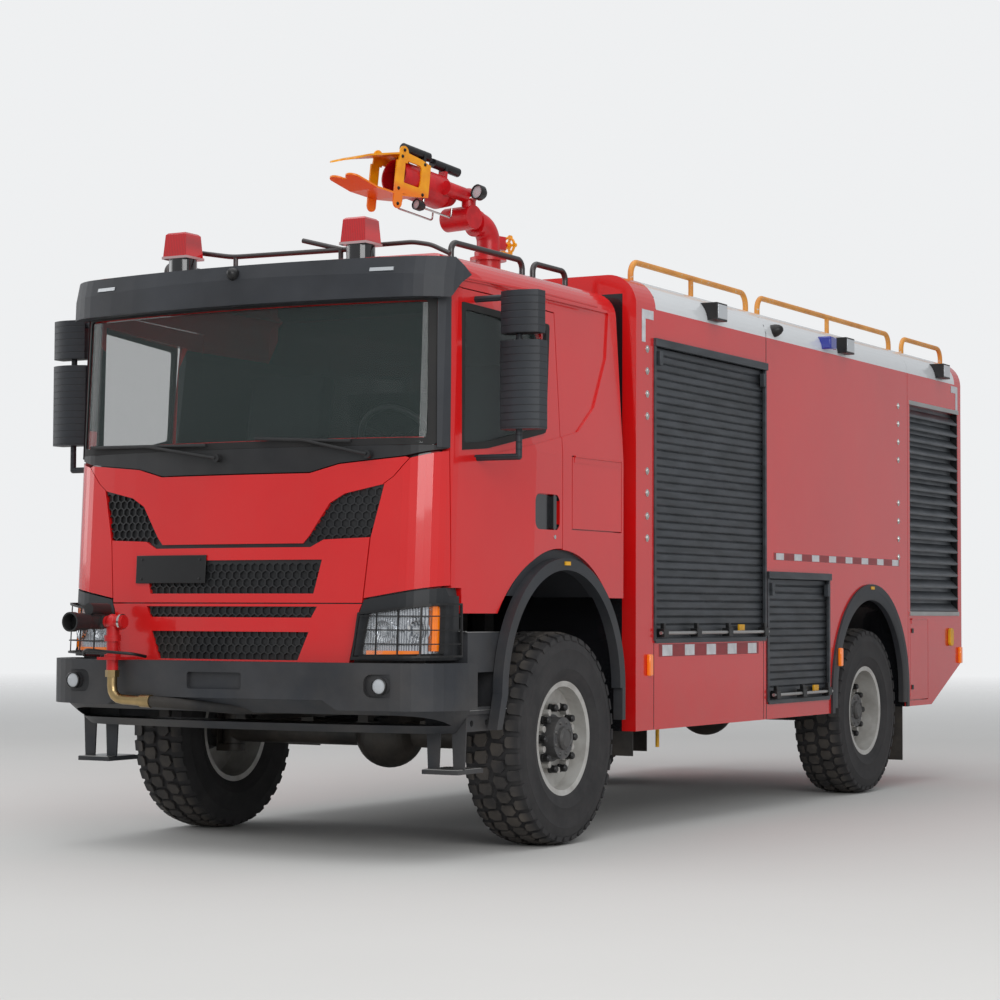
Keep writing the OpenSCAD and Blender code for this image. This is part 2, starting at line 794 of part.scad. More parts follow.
louvre = [rear_seam + 42, body_rear - 74, 1235, body_top - 398];
service_flap_at = [rear_seam + 42, rear_seam + 412, 612, 1180];
tail_y = body_rear - 677;
tail_z = 864;
module rear_section() color("firebrick") from_axle() {
    difference() {
        slice(rear_seam, body_rear - rear_seam) body_section();
        slab(-1500, 3000) polygon([[tail_y, 0], [tail_y, body_z], [body_rear, tail_z],
            [body_rear + 100, tail_z], [body_rear + 100, 0]]);
        both() translate([body_half - 60, louvre[0], louvre[2]])
            cube([100, louvre[1] - louvre[0], louvre[3] - louvre[2]]);
        both() flap_pocket(body_half, service_flap_at);
    }
}

louvre_n = 17;
module louvres() color("dimgray") from_axle() {
    pitch = (louvre[3] - louvre[2]) / louvre_n;
    x = body_half - 60;
    both() {
        slice(louvre[0], louvre[1] - louvre[0]) for (i = [0:louvre_n - 1])
            translate([x, louvre[2] + i * pitch])
                polygon([[6, 0.25 * pitch], [54, 0], [60, 8], [60, 16], [6, 0.75 * pitch]]);
        translate([x, louvre[0], louvre[2]]) cube([8, louvre[1] - louvre[0], louvre[3] - louvre[2]]);
    }
}

module shutters() color("dimgray") from_axle() {
    for (s = shutter_table) {
        n = floor((s[3] - s[2]) / slat_h);
        h = (s[3] - s[2]) / n;
        both() slice(s[0], s[1] - s[0]) polygon(concat(
            [[body_half - shutter_in, s[3]], [body_half - shutter_in, s[2]]],
            [for (i = [0:n - 1]) for (p = [[0, 0], [9, 0.2], [9, 0.8], [0, 1]])
                [body_half - shutter_in + 6 + p[0], s[2] + (i + p[1]) * h]]));
    }
}

module mudflaps() color("black") from_axle() {
    both() {
        translate([780, rear_arch_y + rear_arch_r + 10, 190]) cube([440, 8, body_z - 190]);
        translate([830, body_front + 2, 430]) cube([400, 8, body_z - 430]);
    }
}

rail_t = 17;
rail_bend = 80;
rails = [[979, 2609, true], [2790, rear_seam + 25, true], [rear_seam + 289, body_rear - 24, false]];
module roof_rails() color("orange") from_axle() difference() {
    both() for (r = rails) {
        z = body_top + 105;
        x = body_half - 150;
        low = body_top - 30;
        for (y = [r[0], r[1]]) bar([x, y, low], [x, y, z - rail_bend], rail_t);
        bar([x, r[0] + rail_bend, z], [x, r[1] - rail_bend, z], rail_t);
        translate([x, r[1] - rail_bend, z - rail_bend]) side_bend(rail_bend, rail_t, 0);
        translate([x, r[0] + rail_bend, z - rail_bend]) side_bend(rail_bend, rail_t, 90);
        if (r[2]) bar([x, (r[0] + r[1]) / 2, low], [x, (r[0] + r[1]) / 2, z], rail_t - 2);
    }
    slice(body_front, body_rear - body_front) body_section();
}

module side_lamps() color("dimgray") from_axle() difference() {
    both() for (y = [1705, rear_seam - 1347, body_rear - 563])
        translate([body_half - 60, y, body_top - 162]) cube([120, 150, 104]);
    slice(body_front, body_rear - body_front) body_section();
}

// Lamp clusters on the rear face, low at its corners
module tail_lamps() color("red") from_axle() {
    both() translate([body_half - 190, body_rear, tail_z + 40]) {
        cube([130, 30, 330]);
        for (z = [55, 165, 275]) translate([65, 30, z]) rotate([-90, 0, 0]) cylinder(r = 48, h = 14);
    }
}

module cab_rails() color("dimgray") from_axle() difference() {
    z = cab_top + 95;
    low = cab_top - 60;
    b = 50;
    both() for (r = [[-700, 60], [180, 560]]) {
        for (y = r) bar([900, y, low], [900, y, z - b], 16);
        bar([900, r[0] + b, z], [900, r[1] - b, z], 16);
        translate([900, r[1] - b, z - b]) side_bend(b, 16, 0);
        translate([900, r[0] + b, z - b]) side_bend(b, 16, 90);
    }
    cab_outside(0, 1100);
}

beacon_y = -1018;
beacon_x = 556;
module beacons() color("red") from_axle() both() {
    difference() {
        translate([beacon_x, beacon_y, cab_top - 40]) cylinder(r = 74, h = 96);
        cab_outside(0, 1100);
    }
    // Square lens, narrower at its top
    translate([beacon_x, beacon_y, cab_top + 56]) {
        translate([-80, -80, 0]) cube([160, 160, 14]);
        intersection() {
            slab(-100, 200) polygon([[-76, 0], [-66, 130], [-56, 140], [56, 140], [66, 130], [76, 0]]);
            slice(-100, 200) polygon([[-76, 0], [-66, 130], [-56, 140], [56, 140], [66, 130], [76, 0]]);
        }
    }
}

lid_hinge_y = 3207;
lid_hinge_r = 8;
module roof_lid() color("silver") from_axle() translate([0, 0, body_top + 40 + run]) {
    translate([-300, 2600, 0]) cube([600, 600, 30]);
    translate([-250, lid_hinge_y, lid_hinge_r]) rotate([0, 90, 0]) cylinder(r = lid_hinge_r, h = 500);
}

module ladder() color("silver") from_axle() {
    y = body_rear + ladder_out;
    for (x = [-1000, -620]) tube([[x, body_rear, 2950], [x, y, 2950], [x, y, 1000],
        [x, body_rear, 1000]], ladder_r);
    for (z = [1100:270:2900]) bar([-1000, y, z], [-620, y, z], 13);
}

rail_front = 1166;
jaw_z = frame_top - 140;
jaw_bore = 41;
module frame() color("dimgray") from_axle() {
    both() difference() {
        translate([frame_w / 2 - 80, -rail_front, frame_top - rail_h])
            cube([80, body_rear + rail_front - 150, rail_h]);
        translate([frame_w / 2 - 90, -2000, frame_top - rail_h + 9])
            cube([81, body_rear + 3000, rail_h - 18]);
    }
    // Cab mounts and body pads
    both() {
        translate([frame_w / 2 - 80, -1100, frame_top]) cube([80, 100, door_low_z - frame_top]);
        translate([frame_w / 2 - 80, 500, frame_top]) cube([80, 100, floor_z - cab_wall - frame_top]);
        for (y = [850, 2500, wheelbase - 535, rear_seam + 558]) translate([frame_w / 2 - 80, y, frame_top])
            cube([80, 140, tunnel_z - frame_top]);
    }
    // Tow jaw on the rear cross member
    difference() {
        union() {
            for (z = [jaw_z - 40, jaw_z + 25]) translate([-60, body_rear - 160, z]) cube([120, 150, 15]);
            translate([-60, body_rear - 200, jaw_z - 80]) cube([120, 50, 160]);
        }
        translate([0, body_rear - 60, 0]) cylinder(r = jaw_bore / 2, h = far);
    }
    for (y = [-1100, 1200, 2400, wheelbase - 835, rear_seam + 58, body_rear - 290])
        translate([-frame_w / 2 + 9, y, frame_top - rail_h + 60]) cube([frame_w - 18, 90, rail_h - 120]);
}

module engine_block() color("gray") from_axle() {
    translate([-330, -600, 800]) cube([660, 1080, 700]);
    translate([-230, 480, 780]) cube([460, 600, 260]);
    // Cross bars between the frame's webs
    for (y = [-540, 260]) translate([9 - frame_w / 2, y, 880]) cube([frame_w - 18, 80, 60]);
}

kingpin_x = tyre_x - 130;
spindle_r = 60;
// Axle housing as one turned shape; half of its outline as [radius, distance from the middle],
// with the round bowl of the differential at x = bowl_x
module housing(y, end, r, bowl_x, bowl_r) {
    a = acos(r / bowl_r);
    translate([0, y, hub_z]) rotate([0, 90, 0]) rotate_extrude($fn = 72)
        polygon(concat([for (p = end) [p[0], -p[1]]], arc([0, bowl_x], bowl_r, -a, a, 16),
            [for (i = [len(end) - 1:-1:0]) end[i]]));
}

module spring(y, half) {
    both() for (i = [0:3]) translate([frame_w / 2 - 85, y - half + i * 90, hub_z + 78 + i * 15])
        cube([80, 2 * (half - i * 90), 15]);
}

// Brackets from the springs' ends up to the rails, and seats on the axle
module hangers(y, half) both() {
    for (e = [-half, half - 60]) translate([frame_w / 2 - 75, y + e, hub_z + 90])
        cube([60, 60, frame_top - rail_h - hub_z - 90]);
    translate([frame_w / 2 - 85, y - 60, hub_z]) cube([80, 120, 80]);
}

module front_axle() color("dimgray") from_axle() {
    housing(0, [[0, kingpin_x - 20], [75, kingpin_x - 20]], 75, 120, 190);
    spring(0, 700);
    both() translate([kingpin_x, 0, 0]) {
        translate([0, 0, hub_z - 85]) cylinder(r = 62, h = 170);
        translate([0, 0, hub_z - 130]) cylinder(r = 32, h = 260);
    }
    hangers(0, 700);
}

module rear_axle() color("dimgray") from_axle() {
    housing(wheelbase, [[0, tyre_x], [spindle_r, tyre_x], [spindle_r, tyre_x - 190],
        [80, tyre_x - 190]], 80, 0, 200);
    spring(wheelbase, 780);
    hangers(wheelbase, 780);
}

module knuckle() {
    difference() {
        union() {
            for (z = [hub_z - 128, hub_z + 88]) translate([kingpin_x, 0, z]) cylinder(r = 62, h = 40);
            translate([kingpin_x, -62, hub_z - 128]) cube([78, 124, 256]);
            translate([kingpin_x, 0, hub_z]) rotate([0, 90, 0]) cylinder(r = spindle_r, h = 150);
        }
        translate([kingpin_x, 0, 0]) cylinder(r = 32 + run, h = 2000);
        translate([kingpin_x - 100, -100, hub_z - 88]) cube([168, 200, 176]);
    }
}

module knuckle_left() color("dimgray") from_axle() knuckle();
module knuckle_right() color("dimgray") from_axle() mirror([1, 0, 0]) knuckle();

// Wheel section as [radius, distance outwards from the tyre's middle]
rim_r = rim_d / 2;
bead_r = rim_r - 17;
bead_w = 0.38 * tyre_w;
module wheel(dish) {
    difference() {
        union() {
            rotate_extrude($fn = 96) polygon([[bead_r - 14, -bead_w - 8], [rim_r, -bead_w - 12],
                [rim_r, -bead_w - 2], [bead_r, -bead_w], [bead_r, bead_w], [rim_r, bead_w + 2],
                [rim_r, bead_w + 12], [bead_r - 14, bead_w + 8]]);
            rotate_extrude($fn = 96) polygon([[50, dish], [bead_r - 8, dish], [bead_r - 8, dish + 16],
                [180, dish + 16], [165, dish + 34], [50, dish + 34]]);
            translate([0, 0, dish - 50]) cylinder(r = 110, h = 150);
            for (i = [0:9]) rotate([0, 0, i * 36]) translate([168, 0, dish + 10]) cylinder(r = 17, h = 62);
        }
        translate([0, 0, dish - 200]) cylinder(r = spindle_r + run, h = 240);
    }
}

module tyre() {
    s = tyre_w / 2;
    t = tyre_d / 2;
    rotate_extrude($fn = 96) polygon([[bead_r, -bead_w], [bead_r, bead_w], [rim_r, bead_w + 2],
        [rim_r + 14, bead_w + 16], [rim_r + 60, s - 6], [430, s], [t - 50, s - 10], [t - 22, s - 14],
        [t, s - 34], [t, 34 - s], [t - 22, 14 - s], [t - 50, 10 - s], [430, -s],
        [rim_r + 60, 6 - s], [rim_r + 14, -bead_w - 16], [rim_r, -bead_w - 2]]);
}

module at_wheel(y, side) from_axle() translate([side * tyre_x, y, hub_z])
    rotate([0, side * 90, 0]) children();

module monitor_frame() from_axle() translate([0, monitor_y, 0])
    rotate([0, 0, -monitor_turn_rest]) children();

monitor_r = monitor_pipe_d / 2;
module monitor_base() color("firebrick") monitor_frame() {
    translate([0, 0, body_top]) cylinder(r = monitor_r + 5, h = monitor_base_z - body_top);
    translate([0, 0, monitor_base_z - 20]) cylinder(r = 110, h = 20);
    translate([0, 0, body_top]) cylinder(r = 120, h = 18);
}

swivel_s = 300;
swivel_z = monitor_base_z + 195;
pipe_r = 52;
turn_bend = 105;
wheel_z = swivel_z - 100;
module monitor_turn() color("firebrick") monitor_frame() {
    translate([0, 0, monitor_base_z + run]) {
        cylinder(r = monitor_r, h = swivel_z - turn_bend - monitor_base_z - run);
        cylinder(r = monitor_r + 14, h = 34);
    }
    translate([0, -turn_bend, swivel_z - turn_bend]) side_bend(turn_bend, monitor_r, 0);
    translate([0, -turn_bend, swivel_z]) rotate([90, 0, 0]) {
        cylinder(r = monitor_r + 10, h = 22);
        cylinder(r = pipe_r, h = swivel_s - turn_bend);
    }
    translate([-60, -swivel_s, swivel_z]) rotate([0, 90, 0]) cylinder(r = 70, h = 120);
    // Worm gear case on the elbow's back, with its lobed handwheel
    translate([-45, 20, swivel_z - 140]) cube([90, 90, 80]);
    translate([0, 100, wheel_z]) rotate([-90, 0, 0]) {
        cylinder(r = 11, h = 90);
        translate([0, 0, 74]) {
            cylinder(r = 22, h = 16);
            rotate_extrude($fn = 48) translate([48, 8]) circle(r = 8, $fn = 24);
            for (a = [0:72:288]) rotate([0, 0, a]) {
                translate([0, -6, 2]) cube([48, 12, 12]);
                translate([52, 0, 0]) cylinder(r = 13, h = 16);
            }
        }
    }
}

barrel_z = swivel_z + 125;
neck_x = 110;
barrel_u = 97;
module barrel_frame() monitor_frame() translate([0, -swivel_s, barrel_z])
    rotate([-barrel_lift, 0, 0]) children();

// Deflector plate: a side outline made wide, with two lobes at its tip y = tip
module deflector(tip, r) intersection() {
    slab(-jaw_x, 2 * jaw_x) children();
    translate([0, 0, -500]) linear_extrude(1000) {
        translate([-jaw_x, tip + r]) square([2 * jaw_x, 440 - tip]);
        for (x = [r - jaw_x, jaw_x - r]) translate([x, tip + r]) circle(r = r);
    }
}

jaw_x = 108;
module monitor_barrel() color("firebrick") {
    monitor_frame() {
        translate([60 + run, -swivel_s, swivel_z]) rotate([0, 90, 0]) cylinder(r = 70, h = 95);
        translate([neck_x, -swivel_s, swivel_z]) cylinder(r = 42, h = barrel_z - swivel_z);
        translate([neck_x, -swivel_s, barrel_z]) sphere(r = 50);
    }
    barrel_frame() {
        translate([neck_x, 0, 0]) rotate([90, 0, 0]) cylinder(r = 42, h = barrel_u + 110);
        rotate([90, 0, 0]) rotate_extrude($fn = 72) polygon([[0, barrel_u - 55], [58, barrel_u - 55],
            [62, barrel_u - 45], [barrel_d / 2, barrel_u + 50], [barrel_d / 2, barrel_u + barrel_len],
            [barrel_d / 2 - 8, barrel_u + barrel_len], [barrel_d / 2 - 8, barrel_u + 120],
            [0, barrel_u + 120]]);
        // Open side frames that carry the jaws
        for (x = [-jaw_x, jaw_x - 10]) slab(x, 10) {
            difference() {
                polygon([[-340, -95], [-340, 95], [-420, 112], [-600, 112], [-612, 0], [-600, -125],
                    [-420, -112]]);
                translate([-490, 8]) rounded([0, 0], [150, 130], 22);
            }
            // Ears above and below
            for (e = [[-567, 120], [-586, -182]]) {
                translate(e) circle(r = 34);
                translate([e[0] - 34, min(e[1], 60)]) square([68, abs(e[1] - 60)]);
            }
        }
        deflector(-967, 46) polygon([[-430, 104], [-430, 113], [-560, 122], [-840, 36], [-967, -20],
            [-967, -30], [-838, 26], [-558, 111]]);
        deflector(-957, 46) polygon([[-430, -104], [-430, -114], [-560, -138], [-760, -142],
            [-957, -112], [-957, -102], [-760, -131], [-560, -127]]);
        // Actuators on top
        for (c = [[24, 248, 148], [285, 504, 172]]) translate([28, -c[0], c[2]]) rotate([90, 0, 0])
            cylinder(r = 27, h = c[1] - c[0]);
        for (c = [[140, 148], [330, 172], [470, 172]]) translate([0, -c[0] - 20, 70])
            cube([56, 20, c[1] - 70]);
        translate([18, -300, 148]) cube([20, 90, 24]);
    }
}

module nozzle_frame() from_axle() translate([-nozzle_x, -nozzle_y, 0]) children();

elbow_z = 1080;
nozzle_in = 92;
ball_r = 40;
module bumper_monitor_base() color("firebrick") nozzle_frame() {
    translate([-60, -50, bumper_high]) cube([120, 170, 14]);
    translate([0, 0, bumper_high - 70]) cylinder(r = 30, h = elbow_z - bumper_high + 70);
    for (z = [bumper_high + 14, elbow_z - 14]) translate([0, 0, z]) cylinder(r = 42, h = 14);
}

module bumper_monitor_turn() color("firebrick") nozzle_frame() {
    translate([0, 0, elbow_z + run]) {
        cylinder(r = 32, h = nozzle_z - elbow_z - run);
        cylinder(r = 42, h = 16);
    }
    translate([0, 0, nozzle_z]) sphere(r = ball_r);
    translate([0, 0, nozzle_z]) rotate([0, 90, 0]) cylinder(r = 32, h = 76);
    translate([-ball_r, 0, nozzle_z]) rotate([0, 90, 0]) cylinder(r = 30, h = ball_r);
    translate([56, 0, nozzle_z]) rotate([0, 90, 0]) cylinder(r = 36, h = 12);
}

module bumper_nozzle() color("dimgray") nozzle_frame() {
    translate([-nozzle_in, 0, nozzle_z]) rotate([0, 90, 0]) cylinder(r = 34, h = nozzle_in - ball_r - run);
    translate([-nozzle_in, 40, nozzle_z]) rotate([90, 0, 0]) rotate_extrude($fn = 48) polygon([
        [0, 0], [30, 0], [38, 10], [38, 120], [44, 150], [44, nozzle_len + 5], [50, nozzle_len + 5],
        [50, nozzle_len + 40], [42, nozzle_len + 40], [42, nozzle_len - 30], [0, nozzle_len - 30]]);
    // Motor on top of the nozzle
    translate([-nozzle_in, 70, nozzle_z + 64]) rotate([90, 0, 0]) cylinder(r = 30, h = 150);
    translate([-nozzle_in - 18, -60, nozzle_z]) cube([36, 90, 50]);
}

frame();
engine_block();
front_axle();
rear_axle();
knuckle_left();
knuckle_right();
color("silver") at_wheel(0, 1) wheel(40);  // wheel_front_left
color("silver") at_wheel(0, -1) wheel(40);  // wheel_front_right
color("silver") at_wheel(wheelbase, 1) wheel(-20);  // wheel_rear_left
color("silver") at_wheel(wheelbase, -1) wheel(-20);  // wheel_rear_right
color("black") at_wheel(0, 1) tyre();  // tyre_front_left
color("black") at_wheel(0, -1) tyre();  // tyre_front_right
color("black") at_wheel(wheelbase, 1) tyre();  // tyre_rear_left
color("black") at_wheel(wheelbase, -1) tyre();  // tyre_rear_right
cab_shell();
windscreen();
sun_visor();
front_hatch();
hatch_grilles();
front_panel();
lower_grille();
bumper();
headlamps();
lamp_guards();
wipers();
cab_steps();
front_arches();
seats();
dashboard();
door(1);  // door_left
door(-1);  // door_right
glass(1);  // glass_left
glass(-1);  // glass_right
mirrors();  // mirrors_left
mirror([1, 0, 0]) mirrors();  // mirrors_right
body_shell();
rear_section();
louvres();
shutters();
rear_arches();
mudflaps();
roof_rails();
side_lamps();
cab_rails();
beacons();
roof_lid();
ladder();
monitor_base();
monitor_turn();
monitor_barrel();
bumper_monitor_base();
bumper_monitor_turn();
bumper_nozzle();
side_flap(body_half, service_flap_at);  // service_flap_left
mirror([1, 0, 0]) side_flap(body_half, service_flap_at);  // service_flap_right
side_flap(cab_half, cab_flap_at);  // cab_flap_left
mirror([1, 0, 0]) side_flap(cab_half, cab_flap_at);  // cab_flap_right
tail_lamps();
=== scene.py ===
"""Looks of an airport fire truck: finishes of its solids and the trim on them.

Lengths are in metres. Points are written from the front axle's line on the ground,
as the truck's own frame has them, and put() moves them to the shared frame.
"""
import math
import bmesh
import bpy
import numpy as np
from mathutils import Matrix, Vector


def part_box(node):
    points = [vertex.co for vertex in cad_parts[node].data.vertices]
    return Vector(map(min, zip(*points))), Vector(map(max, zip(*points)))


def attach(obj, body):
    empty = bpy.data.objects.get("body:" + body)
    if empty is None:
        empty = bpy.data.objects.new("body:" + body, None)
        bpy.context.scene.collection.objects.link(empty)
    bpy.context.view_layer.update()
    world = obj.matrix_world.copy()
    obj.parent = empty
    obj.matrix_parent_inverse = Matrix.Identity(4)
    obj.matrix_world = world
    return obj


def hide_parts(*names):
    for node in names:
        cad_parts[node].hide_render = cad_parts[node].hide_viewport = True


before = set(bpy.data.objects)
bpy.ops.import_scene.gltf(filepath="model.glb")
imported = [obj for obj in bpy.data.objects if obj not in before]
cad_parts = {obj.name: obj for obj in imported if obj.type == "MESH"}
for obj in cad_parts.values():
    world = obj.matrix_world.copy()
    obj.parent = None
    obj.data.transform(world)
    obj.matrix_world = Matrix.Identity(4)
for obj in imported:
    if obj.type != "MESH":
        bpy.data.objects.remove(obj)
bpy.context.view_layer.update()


# Places read from the frame

def middle(node):
    """Middle of a node's box."""
    low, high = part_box(node)
    return (np.array(low) + np.array(high)) / 2


FRONT_WHEEL = middle("tyre_front_left")
REAR_WHEEL = middle("tyre_rear_left")
AXLE_Y = FRONT_WHEEL[1]
HUB_Z = FRONT_WHEEL[2]
TYRE_X = FRONT_WHEEL[0]
TYRE_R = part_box("tyre_front_left")[1][2] - HUB_Z
SIDE_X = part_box("body_shell")[1][0]
CAB_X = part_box("cab_shell")[1][0]
# The body's roof edge: where its quarter circle starts, and its radius
COVE_LOW = 2.932
COVE_R = 0.178
# Where the white of that edge starts and ends along the body
COVE_FROM = 0.995
COVE_TO = 6.167

# The cab's front face: radius of its arc in plan, its middle's reach, corner arc and lean
ARC_R = 4.9
REACH = 1.386
CORNER = (0.9051, -1.0572)
CORNER_R = 0.24
CORNER_FROM = 0.952
LEAN = math.radians(3)
LEAN_Z = 1.0
# The cab's side draws in ahead of this line
TAPER_Y = -0.405
SIDE_TAPER = math.tan(math.radians(6))


def put(points):
    """Points from the front axle's line moved to the shared frame."""
    moved = np.array(points, float)
    moved[..., 1] += AXLE_Y
    return moved


def front(x, z, out=0.0):
    """Points on the cab's front at x and height z, out proud of it: the plan's arc,
    then the corner's arc past it, leaned back about a line 1 m up."""
    x = np.asarray(x, float)
    z = np.asarray(z, float)
    wide = np.abs(x)
    on_arc = ARC_R - REACH - np.sqrt(ARC_R ** 2 - np.minimum(wide, CORNER[0]) ** 2)
    turn = np.clip(wide - CORNER[0], 0, CORNER_R * 0.999)
    on_corner = CORNER[1] - np.sqrt(CORNER_R ** 2 - turn ** 2)
    plan = np.where(wide > CORNER_FROM, on_corner, on_arc)
    y = plan / math.cos(LEAN) + (z - LEAN_Z) * math.tan(LEAN) - out
    return np.stack(np.broadcast_arrays(x, y, z), -1)


# Meshes from arrays

def quads(rows, cols, close_rows=False, close_cols=False):
    """Faces of a grid of rows times cols points, closed round either way."""
    r = np.arange(rows if close_rows else rows - 1)
    c = np.arange(cols if close_cols else cols - 1)
    r, c = np.meshgrid(r, c, indexing="ij")
    r2 = (r + 1) % rows
    c2 = (c + 1) % cols
    return np.stack([r * cols + c, r * cols + c2, r2 * cols + c2, r2 * cols + c], -1).reshape(-1, 4)


def grid(points, close_rows=False):
    """A mesh of a grid of points [rows, cols, 3], each row closed to a ring."""
    rows, cols = points.shape[:2]
    return points.reshape(-1, 3), quads(rows, cols, close_rows, True).tolist()


def capped(points):
    """A tube of rings [rings, ring, 3], its ends closed to their middles."""
    first = np.broadcast_to(points[0].mean(0), points[0].shape)
    last = np.broadcast_to(points[-1].mean(0), points[-1].shape)
    return grid(np.concatenate([first[None], points, last[None]]))


def join(*shapes):
    """Several meshes as one."""
    verts, faces, start = [], [], 0
    for points, polys in shapes:
        verts.append(np.asarray(points, float).reshape(-1, 3))
        faces += [[i + start for i in poly] for poly in polys]
        start += len(verts[-1])
    return np.concatenate(verts), faces


def moved(shape, by):
    """The shape shifted by a distance along each axis."""
    return shape[0] + np.array(by, float), shape[1]


def mirrored(shape):
    """The shape on the truck's other side, with its faces turned to stay outside."""
    return shape[0] * np.array([-1, 1, 1]), [poly[::-1] for poly in shape[1]]


def prism(outline, place, depth):
    """An outline of [u, v] points, with place(u, v, w) putting a point at depth w, from 0 to depth."""
    outline = np.array(outline, float)
    n = len(outline)
    low = place(outline[:, 0], outline[:, 1], 0.0)
    high = place(outline[:, 0], outline[:, 1], depth)
    faces = [[i, (i + 1) % n, n + (i + 1) % n, n + i] for i in range(n)]
    faces += [list(range(n))[::-1], list(range(n, 2 * n))]
    return np.concatenate([low, high]), faces


def block(low, high):
    """A box between two corners."""
    low = np.array(low, float)
    high = np.array(high, float)

    def place(u, v, w):
        return np.stack(np.broadcast_arrays(u, v, low[2] + w), -1)

    outline = [[low[0], low[1]], [high[0], low[1]], [high[0], high[1]], [low[0], high[1]]]
    return prism(outline, place, high[2] - low[2])


def sheet(outer, inner):
    """A closed sheet between two grids of points [rows, cols, 3], joined round their rims."""
    n, m = outer.shape[:2]
    count = n * m
    rim = ([i * m for i in range(n)] + [(n - 1) * m + j for j in range(1, m)]
           + [i * m + m - 1 for i in range(n - 2, -1, -1)] + [j for j in range(m - 2, 0, -1)])
    faces = quads(n, m).tolist()
    inner_faces = [[i + count for i in poly[::-1]] for poly in faces]
    faces += [[a + count, b + count, b, a] for a, b in zip(rim, rim[1:] + rim[:1])]
    faces += inner_faces
    return np.concatenate([outer.reshape(-1, 3), inner.reshape(-1, 3)]), faces


def frames_along(path):
    """Side and up directions at each point of a path, carried along without twist."""
    path = np.asarray(path, float)
    ahead = np.gradient(path, axis=0)
    ahead /= np.linalg.norm(ahead, axis=1)[:, None]
    side = np.zeros_like(ahead)
    start = np.cross(ahead[0], [0, 0, 1])
    if np.linalg.norm(start) < 0.1:
        start = np.cross(ahead[0], [0, 1, 0])
    side[0] = start / np.linalg.norm(start)
    for i in range(1, len(path)):
        s = side[i - 1] - ahead[i] * np.dot(side[i - 1], ahead[i])
        side[i] = s / np.linalg.norm(s)
    return side, np.cross(side, ahead)


def rounded_path(points, radius=0.03, steps=5):
    """A line through corner points with rounded corners: from p to q past the corner b, a point
    is (1 - t) squared times p, plus 2 t (1 - t) times b, plus t squared times q."""
    points = [np.array(p, float) for p in points]
    out = [points[0]]
    for a, b, c in zip(points, points[1:], points[2:]):
        before = a - b
        after = c - b
        to_a = np.linalg.norm(before)
        to_c = np.linalg.norm(after)
        cut = min(radius, to_a * 0.45, to_c * 0.45)
        p = b + before / to_a * cut
        q = b + after / to_c * cut
        for t in np.linspace(0, 1, steps):
            out.append((1 - t) ** 2 * p + 2 * t * (1 - t) * b + t ** 2 * q)
    out.append(points[-1])
    return np.array(out)


def sweep(path, section):
    """A closed section of [side, up] points carried along a path: ring i is
    path i plus side times u plus up times v."""
    section = np.asarray(section, float)
    side, up = frames_along(path)
    rings = path[:, None] + side[:, None] * section[None, :, :1] + up[:, None] * section[None, :, 1:]
    return capped(rings)


def pipe(points, radius, bend=0.03):
    """A round bar through the points, bent at its corners, with fourteen sides."""
    a = np.arange(14) / 14 * 2 * np.pi
    return sweep(rounded_path(points, bend), np.stack([np.cos(a), np.sin(a)], -1) * radius)


def turned(profile, centre, axis, n=40):
    """A profile of [radius, distance along the axis] points turned round the axis:
    point is centre + axis times distance + radius times the turning direction."""
    profile = np.asarray(profile, float)
    axis = np.asarray(axis, float) / np.linalg.norm(axis)
    u = np.cross(axis, [0, 0, 1] if abs(axis[2]) < 0.9 else [1, 0, 0])
    u /= np.linalg.norm(u)
    v = np.cross(axis, u)
    a = np.arange(n) / n * 2 * np.pi
    ring = np.cos(a)[:, None] * u + np.sin(a)[:, None] * v
    points = np.asarray(centre, float) + profile[:, 1, None, None] * axis + profile[:, 0, None, None] * ring
    return grid(points)


def dome(centre, axis, radius, height, n=16, rings=5):
    """A closed round head: a flattened half ball on a flat base."""
    a = np.linspace(0, np.pi / 2, rings)
    profile = [[0, 0]] + [[radius * math.cos(t), height * math.sin(t)] for t in a]
    return turned(profile, centre, axis, n)


def rounded_outline(width, height, radius, steps=4):
    """A rectangle round the middle with round corners, as [u, v] points."""
    a = np.linspace(0, np.pi / 2, steps)
    out = []
    for i, (sx, sy) in enumerate([(1, 1), (-1, 1), (-1, -1), (1, -1)]):
        t = a + i * np.pi / 2
        centre = np.array([sx * (width / 2 - radius), sy * (height / 2 - radius)])
        out.append(centre + np.stack([np.cos(t), np.sin(t)], -1) * radius)
    return np.concatenate(out)


def piece(name, shape, material, body, slot=None, smooth=35, bevel=0.0):
    """A finished piece on a body, shaded smooth up to an angle, its edges bevelled if asked."""
    points, polys = shape
    data = bpy.data.meshes.new(name)
    data.from_pydata(put(points).tolist(), [], polys)
    work = bmesh.new()
    work.from_mesh(data)
    bmesh.ops.remove_doubles(work, verts=work.verts, dist=1e-5)
    bmesh.ops.dissolve_degenerate(work, edges=work.edges, dist=1e-6)
    bmesh.ops.recalc_face_normals(work, faces=work.faces)
    work.to_mesh(data)
    work.free()
    obj = bpy.data.objects.new(name, data)
    bpy.context.scene.collection.objects.link(obj)
    data.materials.append(material)
    data.polygons.foreach_set("use_smooth", np.full(len(data.polygons), True))
    data.set_sharp_from_angle(angle=math.radians(smooth))
    if bevel:
        edge = obj.modifiers.new("edges", "BEVEL")
        edge.width = bevel
        edge.segments = 2
        edge.limit_method = "ANGLE"
        edge.angle_limit = math.radians(40)
        edge.harden_normals = False
    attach(obj, body)
    return obj


# Shader maths

